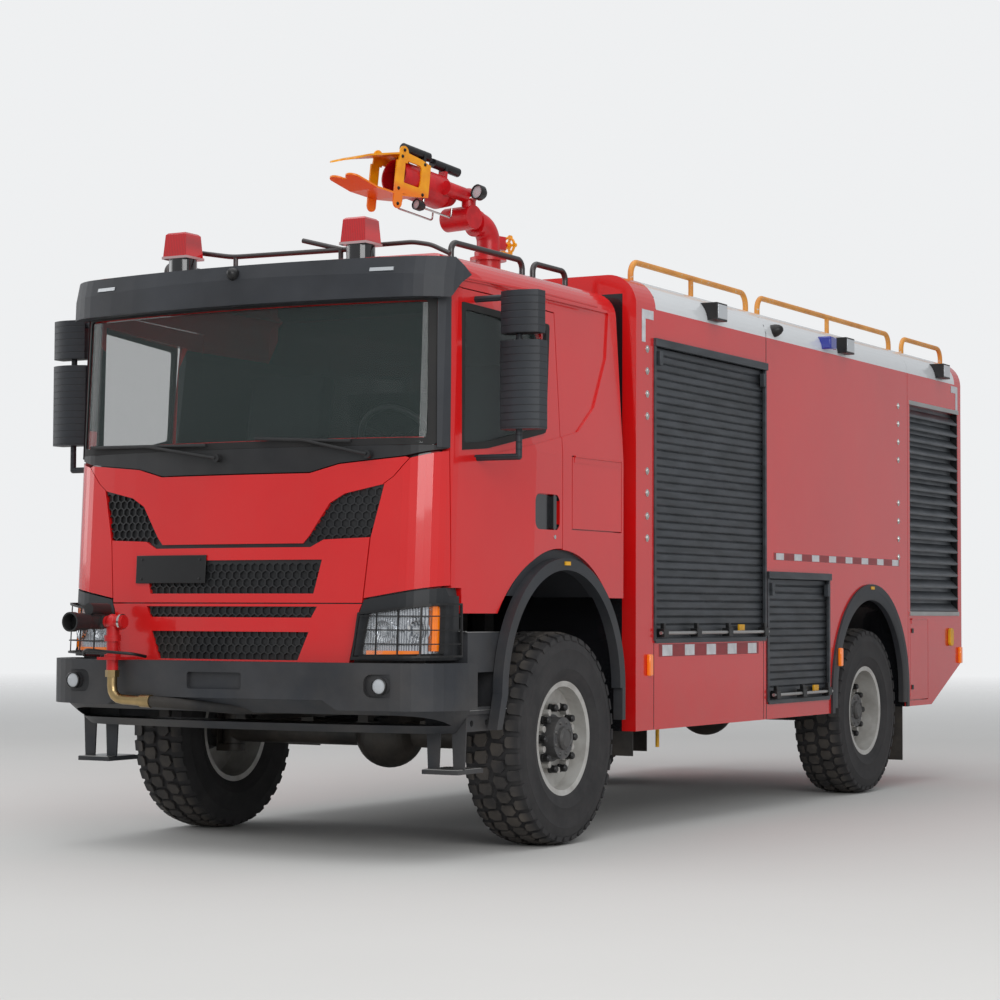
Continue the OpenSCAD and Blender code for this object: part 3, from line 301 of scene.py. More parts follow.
class Sock:
    """A shader value that adds its own Math nodes when it is used in an expression."""

    def __init__(self, tree, link):
        self.tree = tree
        self.link = link

    def _math(self, operation, a, b=None, clamp=False):
        node = self.tree.nodes.new("ShaderNodeMath")
        node.operation = operation
        node.use_clamp = clamp
        for socket, value in zip(node.inputs, (a, b)):
            if isinstance(value, Sock):
                self.tree.links.new(value.link, socket)
            elif value is not None:
                socket.default_value = value
        return Sock(self.tree, node.outputs[0])

    def __add__(self, other):
        return self._math("ADD", self, other)

    def __radd__(self, other):
        return self._math("ADD", other, self)

    def __sub__(self, other):
        return self._math("SUBTRACT", self, other)

    def __rsub__(self, other):
        return self._math("SUBTRACT", other, self)

    def __mul__(self, other):
        return self._math("MULTIPLY", self, other)

    def __rmul__(self, other):
        return self._math("MULTIPLY", other, self)

    def __gt__(self, other):
        return self._math("GREATER_THAN", self, other)

    def __lt__(self, other):
        return self._math("LESS_THAN", self, other)

    def __abs__(self):
        return self._math("ABSOLUTE", self)

    def sqrt(self):
        return self._math("SQRT", self)

    def at_least(self, low):
        return self._math("MAXIMUM", self, low)

    def clamp(self):
        return self._math("ADD", self, 0.0, True)


class Finish:
    """A material under construction, with its Principled shader and Object coordinates."""

    def __init__(self, name, roughness=0.5, metallic=0.0, **values):
        self.material = bpy.data.materials.new(name)
        self.material.use_nodes = True
        self.tree = self.material.node_tree
        self.shader = self.tree.nodes["Principled BSDF"]
        self.set("Roughness", roughness)
        self.set("Metallic", metallic)
        for key, value in values.items():
            self.set(key.replace("_", " "), value)
        coords = self.tree.nodes.new("ShaderNodeTexCoord")
        self.place = Sock(self.tree, coords.outputs["Object"])
        split = self.node("ShaderNodeSeparateXYZ", {}, {"Vector": self.place})
        self.x, self.y, self.z = (Sock(self.tree, split.link.node.outputs[i]) for i in range(3))

    def node(self, kind, settings, inputs, output=0):
        """Any node: its settings first, then the values or links of its sockets."""
        made = self.tree.nodes.new(kind)
        for key, value in settings.items():
            setattr(made, key, value)
        for key, value in inputs.items():
            if isinstance(value, Sock):
                self.tree.links.new(value.link, made.inputs[key])
            else:
                made.inputs[key].default_value = value
        return Sock(self.tree, made.outputs[output])

    def set(self, socket, value):
        """A value or a link for one of the shader's own sockets."""
        if isinstance(value, Sock):
            self.tree.links.new(value.link, self.shader.inputs[socket])
        else:
            self.shader.inputs[socket].default_value = value

    def noise(self, scale, detail=3.0, roughness=0.55, stretch=None):
        """Cloudy values about 0 to 1 over the piece, stretched along an axis if asked."""
        place = self.place
        if stretch is not None:
            place = self.node("ShaderNodeVectorMath", {"operation": "MULTIPLY"}, {0: self.place, 1: stretch})
        return self.node("ShaderNodeTexNoise", {}, {"Vector": place, "Scale": scale, "Detail": detail,
                                                    "Roughness": roughness})

    def ramp(self, value, low, high):
        """0 below low, 1 above high, straight between."""
        return self.node("ShaderNodeMapRange", {"clamp": True},
                         {"Value": value, "From Min": low, "From Max": high})

    def mix(self, share, a, b):
        """Colour a where share is 0 and b where it is 1."""
        made = self.tree.nodes.new("ShaderNodeMix")
        made.data_type = "RGBA"
        for socket, value in ((made.inputs[0], share), (made.inputs[6], a), (made.inputs[7], b)):
            if isinstance(value, Sock):
                self.tree.links.new(value.link, socket)
            elif isinstance(value, tuple):
                socket.default_value = (*value, 1.0) if len(value) == 3 else value
            else:
                socket.default_value = value
        return Sock(self.tree, made.outputs[2])

    def cloudy(self, a, b, scale, detail=4, low=0.3, high=0.7):
        """Colour a with clouds of colour b."""
        return self.mix(self.ramp(self.noise(scale, detail), low, high), a, b)

    def bands(self, scale, distortion=0.0):
        """Waves from 0 to 1 along X."""
        return self.node("ShaderNodeTexWave", {"wave_type": "BANDS", "bands_direction": "X"},
                         {"Vector": self.place, "Scale": scale, "Distortion": distortion})

    def from_axis(self, centre):
        """Distance from a wheel's axis."""
        dy = self.y - float(centre[1])
        dz = self.z - float(centre[2])
        return (dy * dy + dz * dz).sqrt()

    def bump(self, height, strength=0.3, distance=0.001):
        """A bump from a height map, its distance in metres."""
        self.set("Normal", self.node("ShaderNodeBump", {}, {"Height": height, "Strength": strength,
                                                            "Distance": distance}))


def linear(r, g, b):
    """A colour written as screen values of 0 to 255, as the shader takes it."""
    values = np.array([r, g, b]) / 255
    out = np.where(values <= 0.04045, values / 12.92, ((values + 0.055) / 1.055) ** 2.4)
    return tuple(float(v) for v in out)


def dusty(f, base, dust, share=0.35, low=0.2, high=1.4):
    """Road dust that is thickest at the bottom and fades with height."""
    cloud = f.ramp(f.noise(2.3, 5, 0.65), 0.35, 0.75)
    foot = 1 - f.ramp(f.z, low, high)
    return f.mix((cloud * foot * share + cloud * 0.04).clamp(), base, dust)


RED = linear(216, 18, 20)
DEEP_RED = linear(186, 8, 14)
WHITE = linear(225, 228, 230)
DUST = linear(128, 118, 106)


def red_paint(name, cove=False, inside=None):
    """Gloss red enamel with slow waves, faint mottling and road dust. The body's roof edge is white,
    and where inside(f) is 1 the paint is darkened to near black as painted shade."""
    f = Finish(name, roughness=0.2, Coat_Weight=0.6, Coat_Roughness=0.04, IOR=1.5)
    tone = f.ramp(f.noise(0.9, 3), 0.3, 0.7)
    colour = f.mix(tone * 0.35, RED, DEEP_RED)
    if cove:
        y = f.y - float(AXLE_Y)
        past_start = f.ramp(y, COVE_FROM - 0.001, COVE_FROM + 0.001)
        before_end = 1 - f.ramp(y, COVE_TO - 0.001, COVE_TO + 0.001)
        band = f.ramp(f.z, COVE_LOW - 0.001, COVE_LOW + 0.001) * past_start * before_end
        colour = f.mix(band, colour, WHITE)
    colour = dusty(f, colour, DUST, 0.1)
    # Painted shade: near black on the faces that inside(f) marks
    if inside:
        colour = f.mix(inside(f), colour, linear(26, 27, 30))
    f.set("Base Color", colour)
    f.set("Roughness", 0.17 + f.noise(3.1, 4) * 0.1)
    f.bump(f.noise(5.0, 2), 0.12, 0.004)
    return f.material


def cab_painted_shade(f):
    """1 on the cab's inner faces, where the paint gets painted shade: 37 mm behind the front face,
    within the sides, which bend in above a height of 2.60, and under the roof."""
    y = f.y - float(AXLE_Y)
    wide = abs(f.x)
    lean = (f.z - LEAN_Z) * math.tan(LEAN)
    face = (ARC_R - REACH) - (ARC_R ** 2 - wide * wide).sqrt() + lean
    taper = (TAPER_Y - y + lean).at_least(0.0) * SIDE_TAPER
    middle_part = (wide < 1.05) * (y - face > 0.037)
    bend = (f.z - 2.60).at_least(0.0) * 0.5
    side_part = (1.166 - taper - bend - wide > 0.0) * (y > -1.10)
    under_roof = 2.975 - (wide - 0.98).at_least(0.0) - f.z > 0.0
    return (middle_part + side_part).clamp() * under_roof * (y < 0.63)


def body_painted_shade(f):
    """1 on the body's inner faces, in the arches and on the wall behind the cab, where the paint gets painted
    shade.
    """
    y = f.y - float(AXLE_Y)
    wide = abs(f.x)
    wall_y = 0.752
    below = (f.z < 2.93) * (y > wall_y) * (wide < SIDE_X - 0.007)
    wall = (y < wall_y) * (wide < 1.165) * (f.z < 3.0)
    return (below + wall).clamp()


def door_painted_shade(f):
    """1 on the door's inner faces and in the recess of its handle, where the paint gets painted shade."""
    y = f.y - float(AXLE_Y)
    recess = (y > -0.362) * (y < -0.096) * (f.z > 1.653) * (f.z < 1.835) * (abs(f.x) < 1.2125)
    return (cab_painted_shade(f) + recess).clamp()


def grained(name, colour, roughness, grain=900.0, dust=0.25):
    """Moulded plastic with a fine leather-like grain and slightly uneven sheen."""
    f = Finish(name, roughness=roughness, IOR=1.48)
    pale = tuple(min(1.0, c * 1.5 + 0.004) for c in colour)
    base = f.cloudy(colour, pale, 3.0, low=0.35)
    f.set("Base Color", dusty(f, base, DUST, dust))
    f.set("Roughness", roughness - 0.08 + f.noise(6.0, 3) * 0.16)
    f.bump(f.noise(grain, 2), 0.25, 0.0006)
    return f.material


def metal(name, colour, roughness, metallic, dust=0.15):
    """Metal or metallic paint with a fine grain."""
    f = Finish(name, roughness=roughness, metallic=metallic)
    base = f.cloudy(colour, tuple(c * 0.82 for c in colour), 4.0)
    f.set("Base Color", dusty(f, base, DUST, dust))
    grain = f.noise(180.0, 3, 0.6)
    f.set("Roughness", roughness - 0.07 + grain * 0.14)
    f.bump(grain, 0.12, 0.0005)
    return f.material


def lens(name, colour, emission=0.0, rough=0.08, alpha=1.0):
    """Moulded lens with fine ribs under a glossy face."""
    f = Finish(name, roughness=rough, Coat_Weight=1.0, Coat_Roughness=0.02)
    ribs = f.bands(55.0)
    f.set("Base Color", f.mix(ribs * 0.35, colour, tuple(c * 0.45 for c in colour)))
    if emission:
        f.set("Emission Color", (*colour, 1.0))
        f.set("Emission Strength", emission)
    f.set("Alpha", alpha)
    f.bump(ribs, 0.2, 0.001)
    return f.material


def tyre_rubber(name, centre):
    """Black rubber with grey clouds, dust on the tread's outer faces and faint rings about the hub."""
    f = Finish(name, roughness=0.78)
    radius = f.from_axis(centre)
    by_radius = f.node("ShaderNodeCombineXYZ", {}, {"X": radius})
    ring = f.node("ShaderNodeTexNoise", {}, {"Vector": by_radius, "Scale": 90.0, "Detail": 3.0})
    cloud = f.noise(7.0, 5, 0.7)
    greyer = f.ramp(cloud, 0.35, 0.75) * 0.6 + ring * 0.25
    colour = f.mix(greyer, linear(30, 30, 32), linear(64, 62, 62))
    tread_dust = f.ramp(radius, 0.545, 0.556) * f.ramp(f.noise(5.0, 4), 0.3, 0.7)
    f.set("Base Color", f.mix(tread_dust * 0.35, colour, DUST))
    f.set("Roughness", 0.68 + cloud * 0.2)
    f.bump(ring * 0.5 + f.noise(260.0, 3) * 0.5, 0.35, 0.0012)
    return f.material


def wheel_paint(name, centre, hub_radius):
    """Silver wheel paint, with a dark grey hub inside hub_radius and brake dust round it."""
    f = Finish(name, roughness=0.42, metallic=0.35)
    radius = f.from_axis(centre)
    silver = f.cloudy(linear(198, 197, 193), linear(168, 165, 160), 9.0, low=0.35)
    dirt = (1 - f.ramp(radius, hub_radius, hub_radius + 0.09)) * f.ramp(f.noise(14.0, 5, 0.7), 0.3, 0.8)
    silver = f.mix(dirt * 0.4, silver, linear(112, 104, 94))
    hub = f.cloudy(linear(74, 74, 76), linear(96, 95, 94), 20.0)
    f.set("Base Color", f.mix(f.ramp(radius, hub_radius - 0.001, hub_radius), hub, silver))
    f.set("Roughness", 0.34 + f.noise(11.0, 4) * 0.2)
    f.bump(f.noise(120.0, 3), 0.15, 0.0006)
    return f.material


def tinted_glass(name):
    """Tinted safety glass, a thin clear coat over a see-through dark sheet."""
    f = Finish(name, roughness=0.03, IOR=1.52, Coat_Weight=1.0, Coat_Roughness=0.01)
    f.set("Base Color", (0.05, 0.075, 0.07, 1.0))
    f.set("Alpha", 0.22)
    f.material.use_backface_culling = False
    return f.material


def slatted(name, low=(62, 66, 70), high=(78, 82, 87)):
    """Dark grey coated slats with a soft change of tone from slat to slat."""
    f = Finish(name, roughness=0.42, metallic=0.55)
    rows = f.noise(24.0, 2, 0.5, (0.15, 0.15, 1.0))
    colour = f.mix(f.ramp(rows, 0.35, 0.65), linear(*low), linear(*high))
    f.set("Base Color", dusty(f, colour, DUST, 0.2))
    f.set("Roughness", 0.38 + f.noise(8.0, 4) * 0.12)
    f.bump(f.noise(400.0, 2, 0.5, (1, 0.05, 1)), 0.1, 0.0005)
    return f.material


def worn_yellow(name):
    """Orange-yellow paint, faded and chipped in small spots."""
    f = Finish(name, roughness=0.45)
    chips = f.ramp(f.noise(55.0, 4, 0.6), 0.62, 0.66)
    base = f.cloudy(linear(232, 160, 68), linear(206, 132, 48), 6.0)
    f.set("Base Color", f.mix(chips, base, linear(196, 188, 172)))
    f.bump(chips, 0.2, 0.0006)
    return f.material


def flat(name, colour, roughness=0.5, metallic=0.0):
    """A small fitting's finish: one colour with slight cloudiness and fine grain."""
    f = Finish(name, roughness=roughness, metallic=metallic)
    f.set("Base Color", f.cloudy(colour, tuple(c * 0.75 for c in colour), 18.0, 3))
    f.bump(f.noise(300.0, 2), 0.1, 0.0004)
    return f.material


def seat_cloth(name):
    """Woven seat cloth: crossed fine threads."""
    f = Finish(name, roughness=0.9)
    threads = f.noise(700.0, 1, 0.5, (1.0, 0.25, 1.0)) + f.noise(700.0, 1, 0.5, (0.25, 1.0, 1.0))
    f.set("Base Color", f.mix(threads * 0.5, linear(28, 29, 32), linear(52, 54, 60)))
    f.bump(threads, 0.4, 0.0008)
    return f.material


def beacon_lens(name):
    """Red beacon lens on a clear ring and a black base, by height."""
    f = Finish(name, roughness=0.1, Coat_Weight=1.0, Coat_Roughness=0.02)
    fins = f.bands(30.0)
    base_top = 3.078
    red = f.mix(fins * 0.5, linear(196, 6, 14), linear(96, 2, 8))
    ringed = f.mix(f.ramp(f.z, base_top + 0.011, base_top + 0.013), linear(176, 160, 160), red)
    is_lens = f.ramp(f.z, base_top - 0.002, base_top)
    f.set("Base Color", f.mix(is_lens, linear(18, 18, 19), ringed))
    f.set("Emission Color", f.mix(is_lens, (0.0, 0.0, 0.0), (0.6, 0.005, 0.012)))
    f.set("Emission Strength", 0.1)
    f.bump(fins, 0.15, 0.001)
    return f.material


def ribbed_plastic(name):
    """Grey moulded plastic with level ribs 36 mm apart, with painted shade in the grooves between them."""
    f = Finish(name, roughness=0.5, IOR=1.48)
    wave = f.node("ShaderNodeMath", {"operation": "SINE"}, {0: f.z * (2 * math.pi / 0.036)})
    shaded_groove = f.ramp(wave, 0.86, 0.97)
    colour = f.cloudy(linear(38, 41, 46), linear(48, 52, 57), 3.0, low=0.35)
    # Painted shade: the grooves darkened to near black
    f.set("Base Color", f.mix(shaded_groove * 0.6, colour, linear(16, 17, 19)))
    f.set("Roughness", 0.45 + f.noise(6.0, 3) * 0.12)
    f.bump(1 - shaded_groove, 0.6, 0.003)
    return f.material


def lamp_shell(name):
    """Black headlamp housing, with bright reflector metal inside the lens outline."""
    f = Finish(name, roughness=0.3)
    wide = abs(f.x)
    # The lens outline's inner edge and upper edge, as straight lines
    left = wide - 0.762 - (f.z - 1.002) * 0.159
    top = 1.222 + (wide - 0.797) * 0.121 - f.z
    inside = (left > 0.0) * (top > 0.0) * (wide < 1.128) * (f.z > 1.0015)
    fins = f.bands(26.0, 1.5)
    chrome = f.mix(fins, linear(226, 228, 230), linear(150, 154, 160))
    f.set("Base Color", f.mix(inside, linear(30, 32, 35), chrome))
    f.set("Metallic", inside * 0.9)
    f.set("Roughness", 0.42 - inside * 0.3)
    f.bump(fins * inside, 0.5, 0.003)
    return f.material


def monitor_coat(name, place, ahead, above, split):
    """Coated monitor metal whose parts change colour by place: along the barrel, away from its
    axis and above it, measured from place. The nozzle below the barrel's axis has painted shade."""
    f = Finish(name, roughness=0.3)
    rel = [axis - float(c) for axis, c in zip((f.x, f.y, f.z), place)]

    def along(direction):
        return rel[0] * float(direction[0]) + rel[1] * float(direction[1]) + rel[2] * float(direction[2])

    u = along(ahead)
    v = along(above)
    radius = (rel[0] * rel[0] + rel[1] * rel[1] + rel[2] * rel[2] - u * u).sqrt()
    red = f.cloudy(linear(206, 26, 34), linear(176, 16, 26), 14.0, 3)
    yellow = f.cloudy(linear(248, 176, 18), linear(232, 150, 12), 14.0, 3)
    if split == "barrel":
        outer = (u > 0.335) * (radius > 0.1015) + (u > 0.55)
        # Painted shade: the nozzle's yellow turns a darker orange below the barrel's axis
        yellow_shaded_below = f.mix(f.ramp(v * -1.0, 0.06, 0.1), yellow, linear(240, 132, 20))
        colour = f.mix(outer.clamp(), red, yellow_shaded_below)
        dark = (v > 0.1195) * (u < 0.508)
        colour = f.mix(dark, colour, linear(24, 24, 26))
    else:
        colour = f.mix(u < -0.165, red, yellow)
    f.set("Base Color", colour)
    f.set("Roughness", 0.26 + f.noise(20.0, 3) * 0.12)
    f.bump(f.noise(200.0, 2), 0.08, 0.0004)
    return f.material


PLASTIC_GREY = linear(36, 39, 44)
paint_red = red_paint("gloss_red_paint")
# The cab's, doors' and body's inner faces carry painted shade
paint_cab = red_paint("red_cab_paint_with_painted_shade_inside", inside=cab_painted_shade)
paint_door = red_paint("red_door_paint_with_painted_shade", inside=door_painted_shade)
paint_body = red_paint("red_paint_with_white_roof_edge", cove=True, inside=body_painted_shade)
paint_rear = red_paint("rear_red_paint_with_white_roof_edge", cove=True)
plastic_grey = grained("grained_grey_plastic", PLASTIC_GREY, 0.52)
plastic_black = grained("black_plastic", linear(26, 27, 29), 0.5)
chassis_black = grained("black_chassis_paint", linear(24, 24, 25), 0.45, 60.0, 0.5)
rubber_black = grained("black_rubber", linear(22, 22, 23), 0.75, 300.0, 0.4)
steel_dark = metal("dark_grey_tube", linear(86, 84, 84), 0.35, 0.8)
aluminium = metal("bare_aluminium", linear(190, 190, 188), 0.38, 1.0)
bright = metal("bright_metal", linear(215, 215, 212), 0.18, 1.0, dust=0.03)
slats = slatted("dark_slats")
louvre_grey = slatted("louvre_slats", (84, 88, 93), (104, 108, 113))
yellow_worn = worn_yellow("worn_yellow_paint")
glass = tinted_glass("tinted_glass")
monitor_red = flat("monitor_red_paint", linear(205, 30, 32), 0.3)
jaw_yellow = flat("yellow_deflector", linear(240, 178, 20), 0.42)
red_lens = lens("red_beacon_lens", linear(205, 16, 24), 0.25)
amber_lens = lens("amber_lens", linear(240, 120, 16), 0.3)
clear_lens = lens("clear_lens", linear(205, 210, 214), 0.0)
blue_lens = lens("blue_lens", linear(20, 40, 150), 0.1)
black_coat = flat("black_coat", linear(20, 20, 21), 0.4)
white_tape = flat("white_reflective_tape", linear(216, 217, 220), 0.35)
red_tape = flat("red_reflective_tape", linear(150, 14, 24), 0.3)
brass = flat("brass_pipe", linear(190, 164, 118), 0.28, 1.0)
cloth = seat_cloth("seat_cloth")
clear_lamp = lens("clear_lamp_lens", linear(186, 190, 194), 0.04)
clear_cover = lens("clear_lamp_cover", linear(225, 230, 234), 0.0, 0.03, 0.16)
hub_grey = flat("grey_hub_metal", linear(92, 91, 90), 0.45, 0.4)
beacon_red = beacon_lens("red_beacon_on_black_base")
mirror_grey = ribbed_plastic("ribbed_grey_plastic")
lamp_black = lamp_shell("headlamp_housing")

# The roof monitor at rest: its place, turn and lift, and the directions ahead of and above its barrel
MONITOR_Y = 1.284
TURN = math.radians(12)
LIFT = math.radians(7)
AHEAD = np.array([-math.sin(TURN), -math.cos(TURN), 0.0])
RISE = np.array([0.0, 0.0, 1.0])
FORE = AHEAD * math.cos(LIFT) + RISE * math.sin(LIFT)
ABOVE = RISE * math.cos(LIFT) - AHEAD * math.sin(LIFT)
BARREL_PIVOT = np.array([0, MONITOR_Y, 0]) + AHEAD * 0.3 + RISE * 3.665
barrel_coat = monitor_coat("barrel_coat", put(BARREL_PIVOT), FORE, ABOVE, "barrel")
turn_coat = monitor_coat("turning_pipe_coat", put([0, MONITOR_Y, 3.54]), AHEAD, RISE, "turn")

# Each finish with the nodes that have it
FINISHES = [
    (chassis_black, "frame engine_block front_axle rear_axle knuckle_left knuckle_right"),
    (paint_cab, "cab_shell"),
    (glass, "windscreen glass_left glass_right"),
    (plastic_grey, "sun_visor bumper cab_steps front_arches rear_arches"),
    (paint_red, "front_hatch front_panel service_flap_left service_flap_right cab_flap_left cab_flap_right"),
    (plastic_black, "hatch_grilles lower_grille wipers dashboard bumper_nozzle"),
    (lamp_black, "headlamps"),
    (black_coat, "lamp_guards side_lamps tail_lamps"),
    (cloth, "seats"),
    (paint_door, "door_left door_right"),
    (mirror_grey, "mirrors_left mirrors_right"),
    (paint_body, "body_shell"),
    (paint_rear, "rear_section"),
    (louvre_grey, "louvres"),
    (slats, "shutters"),
    (rubber_black, "mudflaps"),
    (yellow_worn, "roof_rails"),
    (steel_dark, "cab_rails"),
    (beacon_red, "beacons"),
    (aluminium, "roof_lid ladder"),
    (monitor_red, "monitor_base bumper_monitor_base bumper_monitor_turn"),
    (turn_coat, "monitor_turn"),
    (barrel_coat, "monitor_barrel"),
]
NODE_FINISH = {node: material for material, nodes in FINISHES for node in nodes.split()}
for axle, centre in (("front", FRONT_WHEEL), ("rear", REAR_WHEEL)):
    rubber = tyre_rubber(axle + "_tyre_rubber", centre)
    silver = wheel_paint(axle + "_wheel_paint", centre, 0.125 if axle == "front" else 0.11)
    for side in ("left", "right"):
        NODE_FINISH[f"tyre_{axle}_{side}"] = rubber
        NODE_FINISH[f"wheel_{axle}_{side}"] = silver

for node, material in NODE_FINISH.items():
    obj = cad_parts[node]
    for slot in obj.material_slots:
        slot.material = material


# Tyres: a turned carcass with tread blocks in rows

def carcass():
    """Section of a tyre over both its sides, as [radius, distance from its middle]."""
    half = np.array([[0.287, 0.125], [0.302, 0.142], [0.318, 0.150], [0.345, 0.160], [0.36, 0.1640],
                     [0.364, 0.1662], [0.37, 0.1662], [0.374, 0.1648], [0.42, 0.1680], [0.46, 0.1680],
                     [0.468, 0.1700], [0.476, 0.1680], [0.505, 0.1640], [0.528, 0.1550], [0.538, 0.1400],
                     [0.543, 0.0900], [0.545, 0.0]])
    other = half[-2::-1] * np.array([1, -1])
    return np.concatenate([half, other])


def tread():
    """Tread blocks in rows round the tyre: outlines of [along as a share of the pitch, across in
    metres], each a prism from the carcass out to the tyre's full radius, drawn in a little at its top."""
    count = 40
    pitch = 2 * np.pi * TYRE_R / count
    long_block = [[-0.36, 0.104], [-0.2, 0.094], [0.22, 0.094], [0.34, 0.106], [0.36, 0.164],
                  [-0.36, 0.164]]
    short_block = [[-0.3, 0.100], [0.3, 0.100], [0.34, 0.112], [0.3, 0.158], [-0.3, 0.158],
                   [-0.34, 0.112]]
    centre_block = [[-0.42, 0.018], [-0.12, 0.006], [0.38, 0.02], [0.42, 0.062], [0.12, 0.088],
                    [-0.36, 0.078]]
    # Outline, shift round the tyre in blocks, and side of the tyre
    rows = [(long_block, 0.0, 1), (short_block, 0.0, -1), (centre_block, 0.42, 1), (centre_block, 0.9, -1)]
    shapes = []
    for outline, shift, side in rows:
        outline = np.array(outline)
        n = len(outline)
        middle_point = outline.mean(0)
        inner = middle_point + (outline - middle_point) * 0.93
        turn = (np.arange(count) + shift)[:, None] / count * 2 * np.pi

        def shell(points, radius_out):
            angle = turn + points[None, :, 0] * pitch / TYRE_R
            across = points[None, :, 1] * side + 0 * angle
            crown = radius_out - 0.02 * np.maximum(np.abs(across) - 0.1, 0) / 0.064
            return np.stack([across, crown * np.cos(angle), crown * np.sin(angle)], -1)

        low = shell(outline, 0.536)
        high = shell(inner, TYRE_R)
        points = np.concatenate([low, high], 1).reshape(-1, 3)
        one = [[i, (i + 1) % n, n + (i + 1) % n, n + i] for i in range(n)]
        one += [list(range(n, 2 * n)), list(range(n))[::-1]]
        polys = [[k * 2 * n + i for i in poly] for k in range(count) for poly in one]
        shapes.append((points, polys))
    return join(*shapes)


# Each wheel's axle, side, sign of its side and hub
WHEELS = [(axle, name, sign, np.array([sign * TYRE_X, centre[1] - AXLE_Y, HUB_Z]))
          for axle, centre in (("front", FRONT_WHEEL), ("rear", REAR_WHEEL))
          for name, sign in (("left", 1), ("right", -1))]


def make_tyres():
    """The four tyres, each in place of its plain solid."""
    lug_points, lug_faces = tread()
    section = carcass()
    ring = np.concatenate([section, section[:1]])
    for axle, name, sign, hub in WHEELS:
        body = turned(ring * np.array([1, sign]), hub, (1, 0, 0), 120)
        lugs = moved((lug_points * np.array([sign, 1, 1]), lug_faces), hub)
        node = f"tyre_{axle}_{name}"
        tyre = piece(node + "_treaded", join(body, lugs), NODE_FINISH[node], f"{axle}_{name}_wheel", "tyre",
                     smooth=28)
        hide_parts(node)


make_tyres()


# Places and outlines of the trim

def side(y, z, out=0.0):
    """Points on the cab's left side: straight behind, drawn in towards the front and leaning back with it."""
    y = np.asarray(y, float)
    z = np.asarray(z, float)
    plan = (y - (z - LEAN_Z) * math.tan(LEAN)) * math.cos(LEAN)
    x = CAB_X - np.maximum(TAPER_Y - plan, 0) * SIDE_TAPER + out
    return np.stack(np.broadcast_arrays(x, y, z), -1)


def flank(y, z, out=0.0):
    """Points on the body's left side: upright, then the roof edge's quarter circle."""
    z = np.asarray(z, float)
    over = np.clip(z - COVE_LOW, 0, COVE_R * 0.999)
    x = SIDE_X - COVE_R + np.sqrt(COVE_R ** 2 - over ** 2) + out
    return np.stack(np.broadcast_arrays(x, np.asarray(y, float), z), -1)


def inset(corners, d):
    """An outline's corners moved inwards by d, each to where its two moved edges meet."""
    p = np.array(corners, float)
    edge = np.roll(p, -1, 0) - p
    edge /= np.linalg.norm(edge, axis=1)[:, None]
    area = np.sum(p[:, 0] * np.roll(p[:, 1], -1) - p[:, 1] * np.roll(p[:, 0], -1))
    normal = np.stack([-edge[:, 1], edge[:, 0]], -1) * np.sign(area)
    before = np.roll(normal, 1, 0)
    return p + (before + normal) * (d / (1 + np.sum(before * normal, 1)))[:, None]


def loop(corners, radius, steps=4, pitch=0.06):
    """A closed outline with turned corners and points every pitch or less."""
    corners = [np.array(c, float) for c in corners]
    turned_line = rounded_path([(corners[-1] + corners[0]) / 2, *corners, (corners[-1] + corners[0]) / 2],
                               radius, steps)[:-1]
    out = []
    for a, b in zip(turned_line, np.roll(turned_line, -1, 0)):
        n = max(1, int(np.linalg.norm(b - a) / pitch))
        out.append(a + (b - a) * np.arange(n)[:, None] / n)
    return np.concatenate(out)


def border(corners, wide, radius, place, low, high):
    """A band of that width inside an outline, from depth low to high, following a surface."""
    outer = loop(corners, radius)
    inner = loop(inset(corners, wide), radius)
    if len(inner) != len(outer):
        share = np.linspace(0, 1, len(outer), endpoint=False)
        old = np.linspace(0, 1, len(inner), endpoint=False)
        inner = np.stack([np.interp(share, old, inner[:, i], period=1) for i in (0, 1)], -1)
    rings = [place(outer[:, 0], outer[:, 1], low), place(outer[:, 0], outer[:, 1], high),
             place(inner[:, 0], inner[:, 1], high), place(inner[:, 0], inner[:, 1], low)]
    return grid(np.stack(rings), close_rows=True)


def patch(u0, u1, v0, v1, place, low, high, pitch=0.12):
    """A thin sheet between two corners, from depth low to high, following a surface."""
    n = max(2, int((u1 - u0) / pitch) + 1)
    m = max(2, int((v1 - v0) / pitch) + 1)
    u, v = np.meshgrid(np.linspace(u0, u1, n), np.linspace(v0, v1, m), indexing="ij")
    return sheet(place(u, v, high), place(u, v, low))


def pair(name, shape, material, bodies=("chassis", "chassis"), **settings):
    """The shape and its mirror image, as one piece where both ride the same body."""
    if bodies[0] == bodies[1]:
        piece(name, join(shape, mirrored(shape)), material, bodies[0], **settings)
    else:
        piece(name + "_left", shape, material, bodies[0], **settings)
        piece(name + "_right", mirrored(shape), material, bodies[1], **settings)


DOORS = ("left_door", "right_door")
# Middle of the rear arches
ARCH_Y = 4.395
WINDOW = [[-1.000, 2.035], [-0.985, 2.750], [-0.216, 2.712], [-0.250, 2.165], [-0.780, 2.055]]
SCREEN = [[-1.092, 2.04], [-1.078, 2.79], [1.078, 2.79], [1.092, 2.04]]
LAMP_GLASS = [[0.762, 1.002], [0.797, 1.222], [1.128, 1.262], [1.128, 1.008]]


